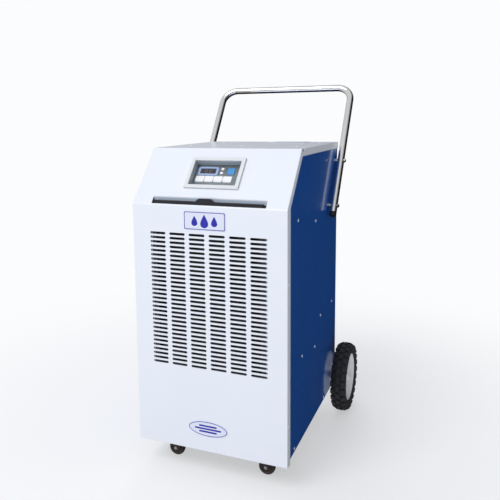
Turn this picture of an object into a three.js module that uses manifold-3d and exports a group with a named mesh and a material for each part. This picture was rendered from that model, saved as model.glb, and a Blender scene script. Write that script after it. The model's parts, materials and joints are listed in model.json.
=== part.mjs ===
// Commercial dehumidifier on two rear wheels and two front casters, as separate pieces.
// Millimetres, +Z up, front towards -Y, "right" is +X as seen from the front.
// Everything is laid out with the front sheet's outer face at y = 0 and the floor at z = 0;
// the last lines centre the machine over its footprint.

import * as THREE from 'three';
import { mergeGeometries, mergeVertices } from 'three/addons/utils/BufferGeometryUtils.js';
import Module from 'manifold-3d';

const wasm = await Module();
wasm.setup();

// ---------------------------------------------------------------- driving dimensions

// Casing
const bodyWidth = 500;
const bodyDepth = 640;
const bodyTop = 1021;
const slantRise = 164; // the upright front face turns into the slanted face this far below the top
const slantDepth = 146; // how far back the slanted face reaches
const panelBottom = 84; // lower edge of the front panel
const casingBottom = 95; // lower edge of the side and rear panels
const sheet = 2;
const gap = 0.4; // clearance between pieces that meet
const frontFlange = 28; // width of the folded edges that lap over the side panels
const slantFlange = 20;
const topFlange = 22;
const panAboveAxle = 10; // rim of the base pan above the axle

// Air intake: slots in the front panel
const slotColumns = 6;
const slotRows = 31;
const slotLength = 52;
const slotHeight = 7.8;
const columnPitch = 65.4;
const rowPitch = 13.73;
const topRowBelowCrease = 87.5;

// Air filter, which slides up out of a slot at the crease
const filterWidth = 368;
const filterThickness = 8;
const filterBottom = 340;
const filterRail = 16; // width of the filter frame's bars
const filterTopAboveCrease = 5;
const guideBelowCrease = 10;
const guideFoot = 4;
const meshThickness = 3;
const gripBarWidth = 356;
const gripBarThickness = 5.6;
const gripBarHeight = 8.5;
const gripWidth = 66;
const gripHeight = 9; // finger grip above the bar
const gripOffset = -6;
const slotRear = 21; // rear edge of the filter slot, from the front face
const slotFold = 14; // the rear edge is folded down this far

// Control unit on the slanted face, measured from the crease up the face
const controlX = -4;
const controlU = 122;
const bezelWidth = 178;
const bezelHeight = 116;
const bezelBorder = 12;
const bezelRaise = 6;
const bezelWall = 2;
const plateDepth = 20; // control plate below the slanted face
const plateThickness = 2;
const boardThickness = 1.6;
const buttonProud = 2.5;
const buttonTravel = 1;
const buttonGap = 0.5;
const buttonFoot = 2; // how far a button reaches behind the plate
// Centres on the plate, across and up from the middle of the control unit
const upButton = { x: 11.5, u: 31, width: 9, height: 8 };
const downButton = { x: 11, u: 16, width: 9, height: 8 };
const powerButton = { x: 41, u: 22.5, width: 22, height: 24 };
const display = { x: -35, u: 21.5 };
const keyCount = 4;
const keyWidth = 27;
const keyHeight = 22;
const keyPitch = 30.5;
const keyRowX = -10.5;
const keyRowU = -8;
const displayWidth = 68;
const displayHeight = 33;
const displayBorderX = 7.5;
const displayBorderY = 6.7;
const displayThickness = 2.1;
const windowThickness = 1.2;

// Handle: one bent tube bolted to the side panels
const tubeRadius = 12.7;
const tubeWall = 1.6;
const tubeOffWall = 3; // tube clear of the casing's side
const handleLean = 34.6; // degrees back from upright
const handleBehind = 26; // tube centre line behind the casing, at the height of the top
const handleAboveTop = 203; // centre line of the bar above the casing's top
const handleBelowTop = 242; // lower end of the tube below it
const handleBend = 57;
const boltsBelowTop = [68, 220];
const boltRadius = 4;
const domeRadius = 7.5;
const domeLength = 6;
const boltInside = 10; // how far a bolt reaches into the casing
const collarRadius = 7;
const plugLip = 17;
const plugInsert = 12;

// Wheels and axle
const wheelRadius = 127;
const shoulder = 15; // size of the tyre's rounded shoulders
const beadHeight = 10; // of the tyre, on the rim
const rimInTyre = 3.5; // rim inside the tyre's side faces
const dishWidth = 18; // slope between the rim's edge and its disc
const discThickness = 4;
const windowLand = 4; // flat around the windows
const tyreWidth = 55;
const wheelInner = 262; // inner face of the tyre from the middle of the machine
const rimRadius = 88;
const rimWall = 3;
const hubRadius = 13;
const hubOuter = 20; // hub's outer end from the wheel's middle plane
const axleRadius = 8;
const axleFromRear = 22;
const axleCollarRadius = 15;
const axleCollarOffWall = 0.8;
const wheelWindows = 5;
const windowRing = 24;
const wheelWindowRadius = 7;
const hubCapRadius = 12;
const hubCapLength = 6;
const wheelSides = 24;

// Casters
const casterFromSide = 110;
const casterFromFront = 86;
const casterWheelRadius = 27;
const casterWheelWidth = 20;
const casterTrail = 18;
const casterPlateSize = 60;
const casterPlateThickness = 3;
const casterBossRadius = 15;
const casterBossHeight = 6;
const forkThickness = 2.5;
const forkGap = 1.5; // fork cheek to wheel
const forkCrown = 4;
const casterPinRadius = 3;
const pinHeadRadius = 5.5;
const pinHeadHeight = 3;
const forkDepth = 24; // front to back
const forkBelowPin = 7;
const casterTreadEdge = 8; // rounding of the caster wheels

// Cooling circuit and air path
const coilMargin = 40; // coil block to side panel
const coilFront = 30;
const coilThickness = 55;
const coilSpacing = 20;
const coilBottom = 347;
const coilTopBelowCrease = 57;
const coilEndPlate = 2;
const coilEndPlateProud = 6;
const shelfHeight = 322;
const shelfFront = 18; // front edge of the shelf, from the front face
const pipeClearance = 2; // around the pipe, in the shelf
const drainPanMargin = 8; // drain pan past the coils
const drainPanRim = 16;
const fanRadius = 165;
const fanTipGap = 7;
const fanHubRadius = 34;
const fanWidth = 24;
const fanInShroud = 3; // fan behind the shroud's front face
const bladeChord = 76;
const fanBlades = 5;
const bladeThickness = 2.5;
const shroudCollar = 34;
const motorRadius = 52;
const motorEdge = 14; // chamfer of the motor's rear edge
const spiderArm = 14; // width of the three arms that carry the motor
const motorLength = 85;
const motorShaftRadius = 6;
const compressorRadius = 78;
const compressorHeight = 205;
const pipeToCompressor = 33; // suction pipe to the compressor's shell
const compressorY = 300;
const compressorFoot = 8;
const pipeRadius = 5;
const pipeOffCoil = 14; // suction pipe to the coil's end plate
const pipeBend = 18;
const pipeBelowShelf = 30; // level run of the suction pipe
const pipeHeight = 480;
const electricalWidth = 150;
const electricalDepth = 180;
const electricalHeight = 150;
const electricalOffCompressor = 22;
const electricalOffSide = 50;

// Rear panel fittings
const outletWidth = 320;
const outletHeight = 300;
const outletBars = 11;
const outletBarHeight = 8;
const outletBorder = 12;
const outletThickness = 3;
const spoutX = -150;
const spoutAboveAxle = 33;
const spoutBore = 5;
const spoutRadius = 8;
const spoutLength = 30;
const glandX = 160;
const glandAboveAxle = 48;
const glandBore = 4.5;
const glandRadius = 8;
const glandLength = 18;
const fittingFlange = 14;
const fittingFlangeThickness = 3;
const fittingShank = 10; // length behind the panel

// Marks on the front panel
const badgeThickness = 1.2;
const badgeX = -6;
const upperBadge = { width: 134, height: 55, belowCrease: 43 };
const lowerBadge = { width: 132, height: 49, aboveBottom: 76 };

// ---------------------------------------------------------------- worked out from the above

const halfWidth = bodyWidth / 2;
const creaseHeight = bodyTop - slantRise;
const slantLength = Math.hypot(slantDepth, slantRise);
const slantAngle = Math.atan2(slantRise, slantDepth);
const sideOuter = halfWidth - sheet - gap;
const sideInner = sideOuter - sheet;
const innerHalf = sideInner - gap;
const casingRear = bodyDepth - sheet - gap;
const pastEdge = 5; // how far a cutter runs past what it cuts

const filterFront = sheet + 3 * gap;
const filterRear = filterFront + filterThickness;
const filterTop = creaseHeight + filterTopAboveCrease;
const filterHalf = filterWidth / 2;

const openingWidth = bezelWidth - 2 * bezelBorder;
const openingHeight = bezelHeight - 2 * bezelBorder;

const handleAngle = THREE.MathUtils.degToRad(handleLean);
const tubeX = halfWidth + tubeOffWall + tubeRadius;
const handleBarHeight = bodyTop + handleAboveTop;
const handleLowEnd = bodyTop - handleBelowTop;
const boltHeights = boltsBelowTop.map((below) => bodyTop - below);
const handleTopY = bodyDepth + handleBehind;
const alongHandle = (height) => (height - bodyTop) / Math.cos(handleAngle);
const handleY = (height) => handleTopY + (height - bodyTop) * Math.tan(handleAngle);

const wheelX = wheelInner + tyreWidth / 2;
const axleY = bodyDepth - axleFromRear;
const axleHole = axleRadius + gap;
const spoutZ = wheelRadius + spoutAboveAxle;
const glandZ = wheelRadius + glandAboveAxle;
const hubInner = tyreWidth / 2 - 1;

const panFloor = casingBottom + sheet;
const panTop = panFloor + sheet;
const panRimTop = wheelRadius + panAboveAxle;
const casterX = halfWidth - casterFromSide;

const coilHalf = sideInner - coilMargin;
const coilTop = creaseHeight - coilTopBelowCrease;
const condenserFront = coilFront + coilThickness + coilSpacing;
const coilsRear = condenserFront + coilThickness;
const shroudFront = coilsRear + coilSpacing;
const fanZ = (coilBottom + coilTop) / 2;
const pipeX = -(coilHalf + coilEndPlate + pipeOffCoil);
const pipeY = coilFront + coilThickness / 2;
const compressorX = pipeX + pipeToCompressor + compressorRadius;

// ---------------------------------------------------------------- helpers

// A closed, indexed copy of a geometry with only positions and outward faces.
function closed(geometry) {
  const bare = geometry.clone();
  bare.deleteAttribute('normal');
  bare.deleteAttribute('uv');
  const merged = mergeVertices(bare, 1e-4);
  const position = merged.getAttribute('position');
  const corner = [new THREE.Vector3(), new THREE.Vector3(), new THREE.Vector3()];
  const kept = [];
  let volume = 0;
  for (let i = 0; i < merged.index.count; i += 3) {
    const [a, b, c] = [0, 1, 2].map((k) => merged.index.getX(i + k));
    if (a === b || b === c || c === a) continue;
    [a, b, c].forEach((v, k) => corner[k].fromBufferAttribute(position, v));
    volume += corner[0].dot(corner[1].clone().cross(corner[2]));
    kept.push(a, b, c);
  }
  if (volume < 0) {
    for (let i = 0; i < kept.length; i += 3) {
      [kept[i + 1], kept[i + 2]] = [kept[i + 2], kept[i + 1]];
    }
  }
  merged.setIndex(kept);
  return merged;
}

function toSolid(geometry) {
  const mesh = closed(geometry);
  const vertProperties = new Float32Array(mesh.getAttribute('position').array);
  const triVerts = new Uint32Array(mesh.index.array);
  return new wasm.Manifold(new wasm.Mesh({ numProp: 3, vertProperties, triVerts }));
}

function toGeometry(solid) {
  const mesh = solid.getMesh();
  const geometry = new THREE.BufferGeometry();
  geometry.setAttribute('position', new THREE.BufferAttribute(mesh.vertProperties, 3));
  geometry.setIndex(new THREE.BufferAttribute(mesh.triVerts, 1));
  return geometry;
}

function join(...geometries) {
  return toGeometry(geometries.map(toSolid).reduce((a, b) => a.add(b)));
}

function cut(geometry, ...cutters) {
  return toGeometry(cutters.map(toSolid).reduce((a, b) => a.subtract(b), toSolid(geometry)));
}

function box(x0, x1, y0, y1, z0, z1) {
  const geometry = new THREE.BoxGeometry(x1 - x0, y1 - y0, z1 - z0);
  return geometry.translate((x0 + x1) / 2, (y0 + y1) / 2, (z0 + z1) / 2);
}

// A side profile, given as [y, z] points, extruded from x0 to x1.
const profileToWorld = new THREE.Matrix4().makeBasis(
  new THREE.Vector3(0, 1, 0),
  new THREE.Vector3(0, 0, 1),
  new THREE.Vector3(1, 0, 0),
);

function profileSlab(points, x0, x1) {
  const shape = new THREE.Shape(points.map(([y, z]) => new THREE.Vector2(y, z)));
  const geometry = new THREE.ExtrudeGeometry(shape, { depth: x1 - x0, bevelEnabled: false });
  return geometry.applyMatrix4(profileToWorld).translate(x0, 0, 0);
}

// A profile of [radius, distance along the axis] points turned about the X, Y or Z axis.
// Flats, not corners, face down, so a wheel stands on a flat.
function turned(points, axis, sides) {
  const profile = points.map(([radius, along]) => new THREE.Vector2(radius, along));
  if (points[0][0] > 0) profile.push(profile[0].clone());
  const geometry = new THREE.LatheGeometry(profile, sides, Math.PI / sides);
  if (axis === 'x') geometry.rotateZ(-Math.PI / 2);
  if (axis === 'z') geometry.rotateX(Math.PI / 2);
  return geometry;
}

function rod(radius, from, to, axis, sides = 12) {
  return turned([[0, from], [radius, from], [radius, to], [0, to]], axis, sides);
}

function ring(inner, outer, from, to, axis, sides) {
  return turned([[inner, from], [outer, from], [outer, to], [inner, to]], axis, sides);
}

// Radius of the corners of a polygon whose flats lie at the given radius.
const cornerRadius = (flatRadius, sides) => flatRadius / Math.cos(Math.PI / sides);

// A path of straight runs joined by round bends, with one station at each end of a straight
// and a few along each bend.
class BentPath extends THREE.Curve {
  constructor(corners, bendRadius, bendSteps) {
    super();
    this.stations = [{ point: corners[0], tangent: direction(corners[0], corners[1]) }];
    for (let i = 1; i < corners.length - 1; i += 1) {
      const before = direction(corners[i - 1], corners[i]);
      const after = direction(corners[i], corners[i + 1]);
      const turn = before.angleTo(after);
      const inward = after.clone().sub(before).normalize();
      const toCentre = bendRadius / Math.cos(turn / 2);
      const centre = corners[i].clone().addScaledVector(inward, toCentre);
      const bisector = before.clone().add(after).normalize();
      for (let k = 0; k <= bendSteps; k += 1) {
        const angle = (k / bendSteps - 0.5) * turn;
        const point = centre.clone()
          .addScaledVector(inward, -bendRadius * Math.cos(angle))
          .addScaledVector(bisector, bendRadius * Math.sin(angle));
        const tangent = bisector.clone().multiplyScalar(Math.cos(angle))
          .addScaledVector(inward, Math.sin(angle));
        this.stations.push({ point, tangent });
      }
    }
    const [last, end] = corners.slice(-2);
    this.stations.push({ point: end, tangent: direction(last, end) });
    this.steps = this.stations.length - 1;
  }

  getPointAt(u) {
    return this.stations[Math.round(u * this.steps)].point.clone();
  }

  getTangentAt(u) {
    return this.stations[Math.round(u * this.steps)].tangent.clone();
  }
}

function direction(from, to) {
  return to.clone().sub(from).normalize();
}

function circleShape(radius, sides, Kind = THREE.Shape) {
  const points = [];
  for (let i = 0; i < sides; i += 1) {
    const angle = (2 * Math.PI * i) / sides;
    points.push(new THREE.Vector2(radius * Math.cos(angle), radius * Math.sin(angle)));
  }
  return new Kind(points);
}

function tube(path, outerRadius, innerRadius, sides) {
  const section = circleShape(outerRadius, sides);
  if (innerRadius > 0) section.holes.push(circleShape(innerRadius, sides, THREE.Path));
  return new THREE.ExtrudeGeometry(section, { extrudePath: path, steps: path.steps });
}

// Points of the casing's side outline, moved inwards from the front and slanted faces.
function slantPoint(up, inset) {
  const y = up * Math.cos(slantAngle) + inset * Math.sin(slantAngle);
  const z = creaseHeight + up * Math.sin(slantAngle) - inset * Math.cos(slantAngle);
  return [y, z];
}

// How far up the slanted face an inset outline meets the inset top.
function topUp(inset) {
  return (slantRise - inset + inset * Math.cos(slantAngle)) / Math.sin(slantAngle);
}

function creasePoint(frontInset, slantInset) {
  const up = (frontInset - slantInset * Math.sin(slantAngle)) / Math.cos(slantAngle);
  return slantPoint(up, slantInset);
}

// Moves geometry made on the slanted face (x across, y up the face, z out of it) to its place.
const slantMatrix = new THREE.Matrix4()
  .makeRotationX(slantAngle)
  .setPosition(0, 0, creaseHeight);
const onSlant = (geometry) => geometry.applyMatrix4(slantMatrix);

// ---------------------------------------------------------------- materials

const finish = (color, roughness, metalness = 0) =>
  new THREE.MeshStandardMaterial({ color, roughness, metalness });

const white = finish(0xe9edf5, 0.4);
const blue = finish(0x123f7c, 0.35);
const galvanised = finish(0xa9adb0, 0.45, 0.8);
const greyPlastic = finish(0xd5d8dc, 0.45);
const darkPlate = finish(0x6f7a85, 0.5);
const paleBlue = finish(0x9fb6dc, 0.4);
const darkGlass = finish(0x1b2230, 0.15);
const keyWhite = finish(0xf2f2f4, 0.45);
const keyBlue = finish(0x2a7fd0, 0.4);
const blackPlastic = finish(0x17181b, 0.5);
const meshBlack = finish(0x101113, 0.8);
const chrome = finish(0xd8dadd, 0.12, 1);
const rubber = finish(0x1b1b1c, 0.85);
const rimSilver = finish(0xdcdde0, 0.3, 0.6);
const casterBrown = finish(0x3a2f29, 0.5);
const coilMetal = finish(0xb8bcc0, 0.4, 0.9);
const compressorBlack = finish(0x1d1e20, 0.4, 0.2);
const boardGreen = finish(0x1f5a3a, 0.6);
const copper = finish(0xb06a3c, 0.35, 0.9);

const machine = new THREE.Group();
const slantFrame = new THREE.Group();
slantFrame.position.z = creaseHeight;
slantFrame.rotation.x = slantAngle;
const handleFrame = new THREE.Group();
handleFrame.position.set(0, handleTopY, bodyTop);
handleFrame.rotation.x = -handleAngle;
machine.add(slantFrame, handleFrame);

function addPiece(name, geometry, material, parent = machine) {
  const mesh = new THREE.Mesh(closed(geometry), material);
  mesh.name = name;
  parent.add(mesh);
  return mesh;
}

const sides = [['left', -1], ['right', 1]];

// ---------------------------------------------------------------- casing

function intakeSlots() {
  const slots = [];
  for (let column = 0; column < slotColumns; column += 1) {
    const x = (column - (slotColumns - 1) / 2) * columnPitch;
    for (let row = 0; row < slotRows; row += 1) {
      const z = creaseHeight - topRowBelowCrease - row * rowPitch;
      slots.push(box(x - slotLength / 2, x + slotLength / 2, -pastEdge, pastEdge,
        z - slotHeight / 2, z + slotHeight / 2));
    }
  }
  return mergeGeometries(slots);
}

// A cut-out for the control unit's sleeve, through the slanted sheet.
function controlCutout() {
  const halfX = openingWidth / 2 + bezelWall + gap;
  const halfU = openingHeight / 2 + bezelWall + gap;
  return onSlant(box(controlX - halfX, controlX + halfX, controlU - halfU, controlU + halfU,
    -sheet - pastEdge, pastEdge));
}

function frontPanel() {
  const outline = [
    [0, panelBottom],
    [0, creaseHeight],
    slantPoint(slantLength, 0),
    slantPoint(slantLength, slantFlange),
    creasePoint(frontFlange, slantFlange),
    [frontFlange, panelBottom],
  ];
  const hollow = [
    [sheet, panelBottom + sheet],
    creasePoint(sheet, sheet),
    slantPoint(slantLength + slantFlange, sheet),
    [bodyDepth, bodyTop],
    [bodyDepth, panelBottom + sheet],
  ];
  const filterSlot = box(-filterHalf - 2 * gap, filterHalf + 2 * gap,
    filterFront - gap, slotRear, creaseHeight - pastEdge, bodyTop - pastEdge);
  const panel = cut(
    profileSlab(outline, -halfWidth, halfWidth),
    profileSlab(hollow, -halfWidth + sheet, halfWidth - sheet),
    intakeSlots(),
    filterSlot,
    controlCutout(),
  );
  const foldTop = creaseHeight + (slotRear * slantRise) / slantDepth - gap;
  const fold = box(-filterHalf - 2 * gap, filterHalf + 2 * gap, slotRear, slotRear + sheet,
    foldTop - slotFold, foldTop);
  return join(panel, fold);
}

// The top cover has a flange down each side and one down the back; its front edge follows the
// slanted sheet.
function topCover() {
  const flangeBottom = bodyTop - topFlange;
  const lid = box(-halfWidth, halfWidth, slantDepth - slantFlange, bodyDepth,
    flangeBottom, bodyTop);
  const inside = box(-halfWidth + sheet, halfWidth - sheet, 0, bodyDepth - sheet,
    flangeBottom - pastEdge, bodyTop - sheet);
  const far = slantLength + bodyDepth;
  const aboveSheet = onSlant(box(-halfWidth - pastEdge, halfWidth + pastEdge,
    -far, far, -sheet - gap, far));
  const flangeRoom = sides.map(([, side]) => {
    const [x0, x1] = [side * sideOuter, side * (halfWidth + pastEdge)].sort((a, b) => a - b);
    return onSlant(box(x0, x1, -far, far, -slantFlange - gap, far));
  });
  return cut(lid, inside, aboveSheet, ...flangeRoom);
}

// One side panel, made for +X: a flat sheet drilled for the handle bolts and the axle.
function sidePanel() {
  const inset = sheet + gap;
  const outline = [
    [inset, casingBottom],
    creasePoint(inset, inset),
    slantPoint(topUp(inset), inset),
    [casingRear, bodyTop - inset],
    [casingRear, casingBottom],
  ];
  const boltHoles = boltHeights.map((height) =>
    rod(boltRadius + gap, 0, halfWidth, 'x').translate(0, handleY(height), height));
  const axleHoleCut = rod(axleHole, 0, halfWidth, 'x', 16).translate(0, axleY, wheelRadius);
  return cut(profileSlab(outline, sideInner, sideOuter), axleHoleCut, ...boltHoles);
}

function mirrored(geometry) {
  return geometry.clone().scale(-1, 1, 1);
}

function basePan() {
  const tray = box(-innerHalf, innerHalf, sheet + 2 * gap, casingRear - sheet - gap,
    panFloor, panRimTop);
  const inside = box(-innerHalf + sheet, innerHalf - sheet, 2 * sheet + 2 * gap,
    casingRear - 2 * sheet - gap, panTop, panRimTop + pastEdge);
  const holes = rod(axleHole, -halfWidth, halfWidth, 'x', 16).translate(0, axleY, wheelRadius);
  return cut(tray, inside, holes);
}

function rearPanel() {
  const panel = box(-innerHalf, innerHalf, casingRear - sheet, casingRear,
    casingBottom + sheet, bodyTop - sheet - gap);
  const outlet = box(-outletWidth / 2, outletWidth / 2, 0, bodyDepth,
    fanZ - outletHeight / 2, fanZ + outletHeight / 2);
  const spoutHole = rod(spoutRadius + gap, 0, bodyDepth, 'y').translate(spoutX, 0, spoutZ);
  const glandHole = rod(glandRadius + gap, 0, bodyDepth, 'y').translate(glandX, 0, glandZ);
  return cut(panel, outlet, spoutHole, glandHole);
}

function outletGrille() {
  const [halfX, halfZ] = [outletWidth / 2, outletHeight / 2];
  const [y0, y1] = [casingRear + gap, casingRear + gap + outletThickness];
  const frame = cut(
    box(-halfX - outletBorder, halfX + outletBorder, y0, y1,
      fanZ - halfZ - outletBorder, fanZ + halfZ + outletBorder),
    box(-halfX, halfX, y0 - pastEdge, y1 + pastEdge, fanZ - halfZ, fanZ + halfZ),
  );
  const bars = [];
  for (let i = 1; i <= outletBars; i += 1) {
    const z = fanZ - halfZ + (i * outletHeight) / (outletBars + 1);
    bars.push(box(-halfX - 1, halfX + 1, y0, y1, z - outletBarHeight / 2,
      z + outletBarHeight / 2));
  }
  return join(frame, ...bars);
}

addPiece('front_panel', frontPanel(), white);
addPiece('top_cover', topCover(), white);
const rightSide = sidePanel();
addPiece('side_panel_right', rightSide, blue);
addPiece('side_panel_left', mirrored(rightSide), blue);
addPiece('base_pan', basePan(), galvanised);
addPiece('rear_panel', rearPanel(), blue);
addPiece('outlet_grille', outletGrille(), blackPlastic);

// ---------------------------------------------------------------- air filter

function filterFrame() {
  return cut(
    box(-filterHalf, filterHalf, filterFront, filterRear, filterBottom, filterTop),
    box(-filterHalf + filterRail, filterHalf - filterRail, 0, slotRear,
      filterBottom + filterRail, filterTop - filterRail),
  );
}

function filterMesh() {
  const half = filterHalf - filterRail - gap;
  const middle = (filterFront + filterRear) / 2;
  return box(-half, half, middle - meshThickness / 2, middle + meshThickness / 2,
    filterBottom + filterRail + gap, filterTop - filterRail - gap);
}

// The dark bar that closes the slot, with a finger grip standing on it.
function filterGrip() {
  const bottom = filterTop + gap;
  const rear = filterFront + gripBarThickness;
  const bar = box(-gripBarWidth / 2, gripBarWidth / 2, filterFront, rear,
    bottom, bottom + gripBarHeight);
  const grip = box(gripOffset - gripWidth / 2, gripOffset + gripWidth / 2, filterFront, rear,
    bottom, bottom + gripBarHeight + gripHeight);
  return join(bar, grip);
}

// An angle that holds one edge of the filter against the front sheet, with a foot under it.
function filterGuide(side) {
  const inner = filterHalf + gap;
  const lap = filterHalf - filterRail + 2 * gap;
  const guideTop = creaseHeight - guideBelowCrease;
  const angle = join(
    box(inner, inner + sheet, sheet + gap, filterRear + gap + sheet, filterBottom, guideTop),
    box(lap, inner + sheet, filterRear + gap, filterRear + gap + sheet, filterBottom, guideTop),
    box(lap, inner + sheet, sheet + gap, filterRear + gap + sheet,
      filterBottom - guideFoot, filterBottom - gap),
    box(inner, inner + sheet, sheet + gap, filterRear + gap + sheet,
      filterBottom - guideFoot, filterBottom + guideFoot),
  );
  return side > 0 ? angle : mirrored(angle);
}

addPiece('filter_frame', filterFrame(), greyPlastic);
addPiece('filter_mesh', filterMesh(), meshBlack);
addPiece('filter_grip', filterGrip(), blackPlastic);
for (const [name, side] of sides) {
  addPiece(`filter_guide_${name}`, filterGuide(side), galvanised);
}

// ---------------------------------------------------------------- control unit

const controls = [
  { ...upButton, name: 'up_button', material: keyWhite },
  { ...downButton, name: 'down_button', material: keyWhite },
  { ...powerButton, name: 'power_button', material: keyBlue },
];
for (let i = 0; i < keyCount; i += 1) {
  const x = keyRowX + (i - (keyCount - 1) / 2) * keyPitch;
  controls.push({ name: `mode_key_${i + 1}`, x, u: keyRowU, width: keyWidth,
    height: keyHeight, material: keyWhite });
}

// A block on the slanted face, centred at (x, u) from the control unit's centre.
function controlBlock(x, u, width, height, low, high) {
  return box(controlX + x - width / 2, controlX + x + width / 2,
    controlU + u - height / 2, controlU + u + height / 2, low, high);
}

function controlBezel() {
  const rim = controlBlock(0, 0, bezelWidth, bezelHeight, gap, bezelRaise);
  const sleeve = controlBlock(0, 0, openingWidth + 2 * bezelWall,
    openingHeight + 2 * bezelWall, -plateDepth + gap, bezelRaise);
  const opening = controlBlock(0, 0, openingWidth, openingHeight,
    -plateDepth - pastEdge, bezelRaise + pastEdge);
  return cut(join(rim, sleeve), opening);
}

function controlPlate() {
  const plate = controlBlock(0, 0, openingWidth + 2 * bezelWall, openingHeight + 2 * bezelWall,
    -plateDepth - plateThickness, -plateDepth);
  const holes = controls.map(({ x, u, width, height }) =>
    controlBlock(x, u, width + 2 * buttonGap, height + 2 * buttonGap, -bodyDepth, 0));
  return cut(plate, ...holes);
}

function displayFrame() {
  const base = -plateDepth + gap;
  return cut(
    controlBlock(display.x, display.u, displayWidth, displayHeight, base,
      base + displayThickness),
    controlBlock(display.x, display.u, displayWidth - 2 * displayBorderX,
      displayHeight - 2 * displayBorderY, -bodyDepth, 0),
  );
}

const buttonBack = -plateDepth - plateThickness - buttonFoot;
const boardTop = buttonBack - 2 * buttonTravel;
addPiece('control_bezel', controlBezel(), greyPlastic, slantFrame);
addPiece('control_plate', controlPlate(), darkPlate, slantFrame);
addPiece('control_board', controlBlock(0, 0, openingWidth, openingHeight,
  boardTop - boardThickness, boardTop), boardGreen, slantFrame);
addPiece('display_frame', displayFrame(), paleBlue, slantFrame);
addPiece('display_window', controlBlock(display.x, display.u,
  displayWidth - 2 * displayBorderX - 2 * gap, displayHeight - 2 * displayBorderY - 2 * gap,
  -plateDepth + gap, -plateDepth + gap + windowThickness), darkGlass, slantFrame);
for (const { name, x, u, width, height, material } of controls) {
  const button = controlBlock(x, u, width, height, buttonBack, -plateDepth + buttonProud);
  addPiece(name, button, material, slantFrame);
}

// ---------------------------------------------------------------- handle

// The tube lies in a leaning plane: x across, z along the lean, from the height of the top.
function handleTube() {
  const low = alongHandle(handleLowEnd);
  const high = alongHandle(handleBarHeight);
  const corners = [[-tubeX, low], [-tubeX, high], [tubeX, high], [tubeX, low]];
  const path = new BentPath(corners.map(([x, z]) => new THREE.Vector3(x, 0, z)), handleBend, 5);
  const holes = boltHeights.map((height) => {
    const reach = tubeX + 2 * tubeRadius;
    return rod(boltRadius + gap, -reach, reach, 'x').translate(0, 0, alongHandle(height));
  });
  return cut(tube(path, tubeRadius, tubeRadius - tubeWall, 12), ...holes);
}

function handlePlug(side) {
  const low = alongHandle(handleLowEnd);
  const inside = (tubeRadius - tubeWall) * Math.cos(Math.PI / 12) - gap;
  const plug = turned([
    [0, low - gap - plugLip],
    [tubeRadius, low - gap - plugLip],
    [tubeRadius, low - gap],
    [inside, low - gap],
    [inside, low + plugInsert],
    [0, low + plugInsert],
  ], 'z', 12);
  return plug.translate(side * tubeX, 0, 0);
}

// A dome-headed bolt through the tube and the side panel, with a collar between the two.
function handleBolt() {
  const wallOuter = sideOuter + gap;
  const tubeInnerSide = tubeX - tubeRadius - gap;
  const head = tubeX + tubeRadius + gap;
  return turned([
    [0, sideOuter - boltInside],
    [boltRadius, sideOuter - boltInside],
    [boltRadius, wallOuter],
    [collarRadius, wallOuter],
    [collarRadius, tubeInnerSide],
    [boltRadius, tubeInnerSide],
    [boltRadius, head],
    [domeRadius, head],
    [domeRadius, head + domeLength / 2],
    [domeRadius / 2, head + domeLength],
    [0, head + domeLength],
  ], 'x', 10);
}

addPiece('handle_tube', handleTube(), chrome, handleFrame);
for (const [name, side] of sides) {
  addPiece(`handle_plug_${name}`, handlePlug(side), blackPlastic, handleFrame);
  boltHeights.forEach((height, i) => {
    const bolt = side > 0 ? handleBolt() : mirrored(handleBolt());
    bolt.translate(0, handleY(height), height);
    addPiece(`handle_bolt_${i === 0 ? 'upper' : 'lower'}_${name}`, bolt, chrome);
  });
}

// ---------------------------------------------------------------- wheels and axle

// All profiles are [radius, distance outwards from the wheel's middle plane].
function wheelRim() {
  const half = tyreWidth / 2 - rimInTyre;
  const flat = windowRing + wheelWindowRadius + windowLand;
  const rim = turned([
    [rimRadius, half],
    [rimRadius, -half],
    [rimRadius - rimWall, -half],
    [rimRadius - rimWall, half - rimWall * 3],
    [rimRadius - dishWidth, discThickness / 2],
    [flat, 0],
    [hubRadius, 0],
    [hubRadius, -hubInner],
    [axleHole, -hubInner],
    [axleHole, hubOuter],
    [hubRadius, hubOuter],
    [hubRadius, discThickness],
    [flat, discThickness],
    [rimRadius - dishWidth, discThickness * 1.75],
    [rimRadius - rimWall, half - discThickness / 2],
    [rimRadius - rimWall, half],
  ], 'x', wheelSides);
  const windows = [];
  for (let i = 0; i < wheelWindows; i += 1) {
    const hole = rod(wheelWindowRadius, -tyreWidth, tyreWidth, 'x', 8).translate(0, 0, windowRing);
    windows.push(hole.rotateX((2 * Math.PI * i) / wheelWindows));
  }
  return cut(rim, ...windows);
}

function tyre() {
  const half = tyreWidth / 2;
  const tread = cornerRadius(wheelRadius, wheelSides);
  const bead = rimRadius + beadHeight;
  const corner = shoulder / 3;
  return turned([
    [rimRadius + gap, half - rimInTyre],
    [bead, half - 1],
    [wheelRadius - shoulder, half],
    [wheelRadius - corner, half - corner],
    [tread, half - shoulder],
    [tread, shoulder - half],
    [wheelRadius - corner, corner - half],
    [wheelRadius - shoulder, -half],
    [bead, 1 - half],
    [rimRadius + gap, rimInTyre - half],
  ], 'x', wheelSides);
}

function hubCap() {
  const start = hubOuter + gap;
  return turned([
    [0, start],
    [hubCapRadius, start],
    [hubCapRadius, start + hubCapLength / 2],
    [hubCapRadius / 2, start + hubCapLength],
    [0, start + hubCapLength],
  ], 'x', 12);
}

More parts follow.
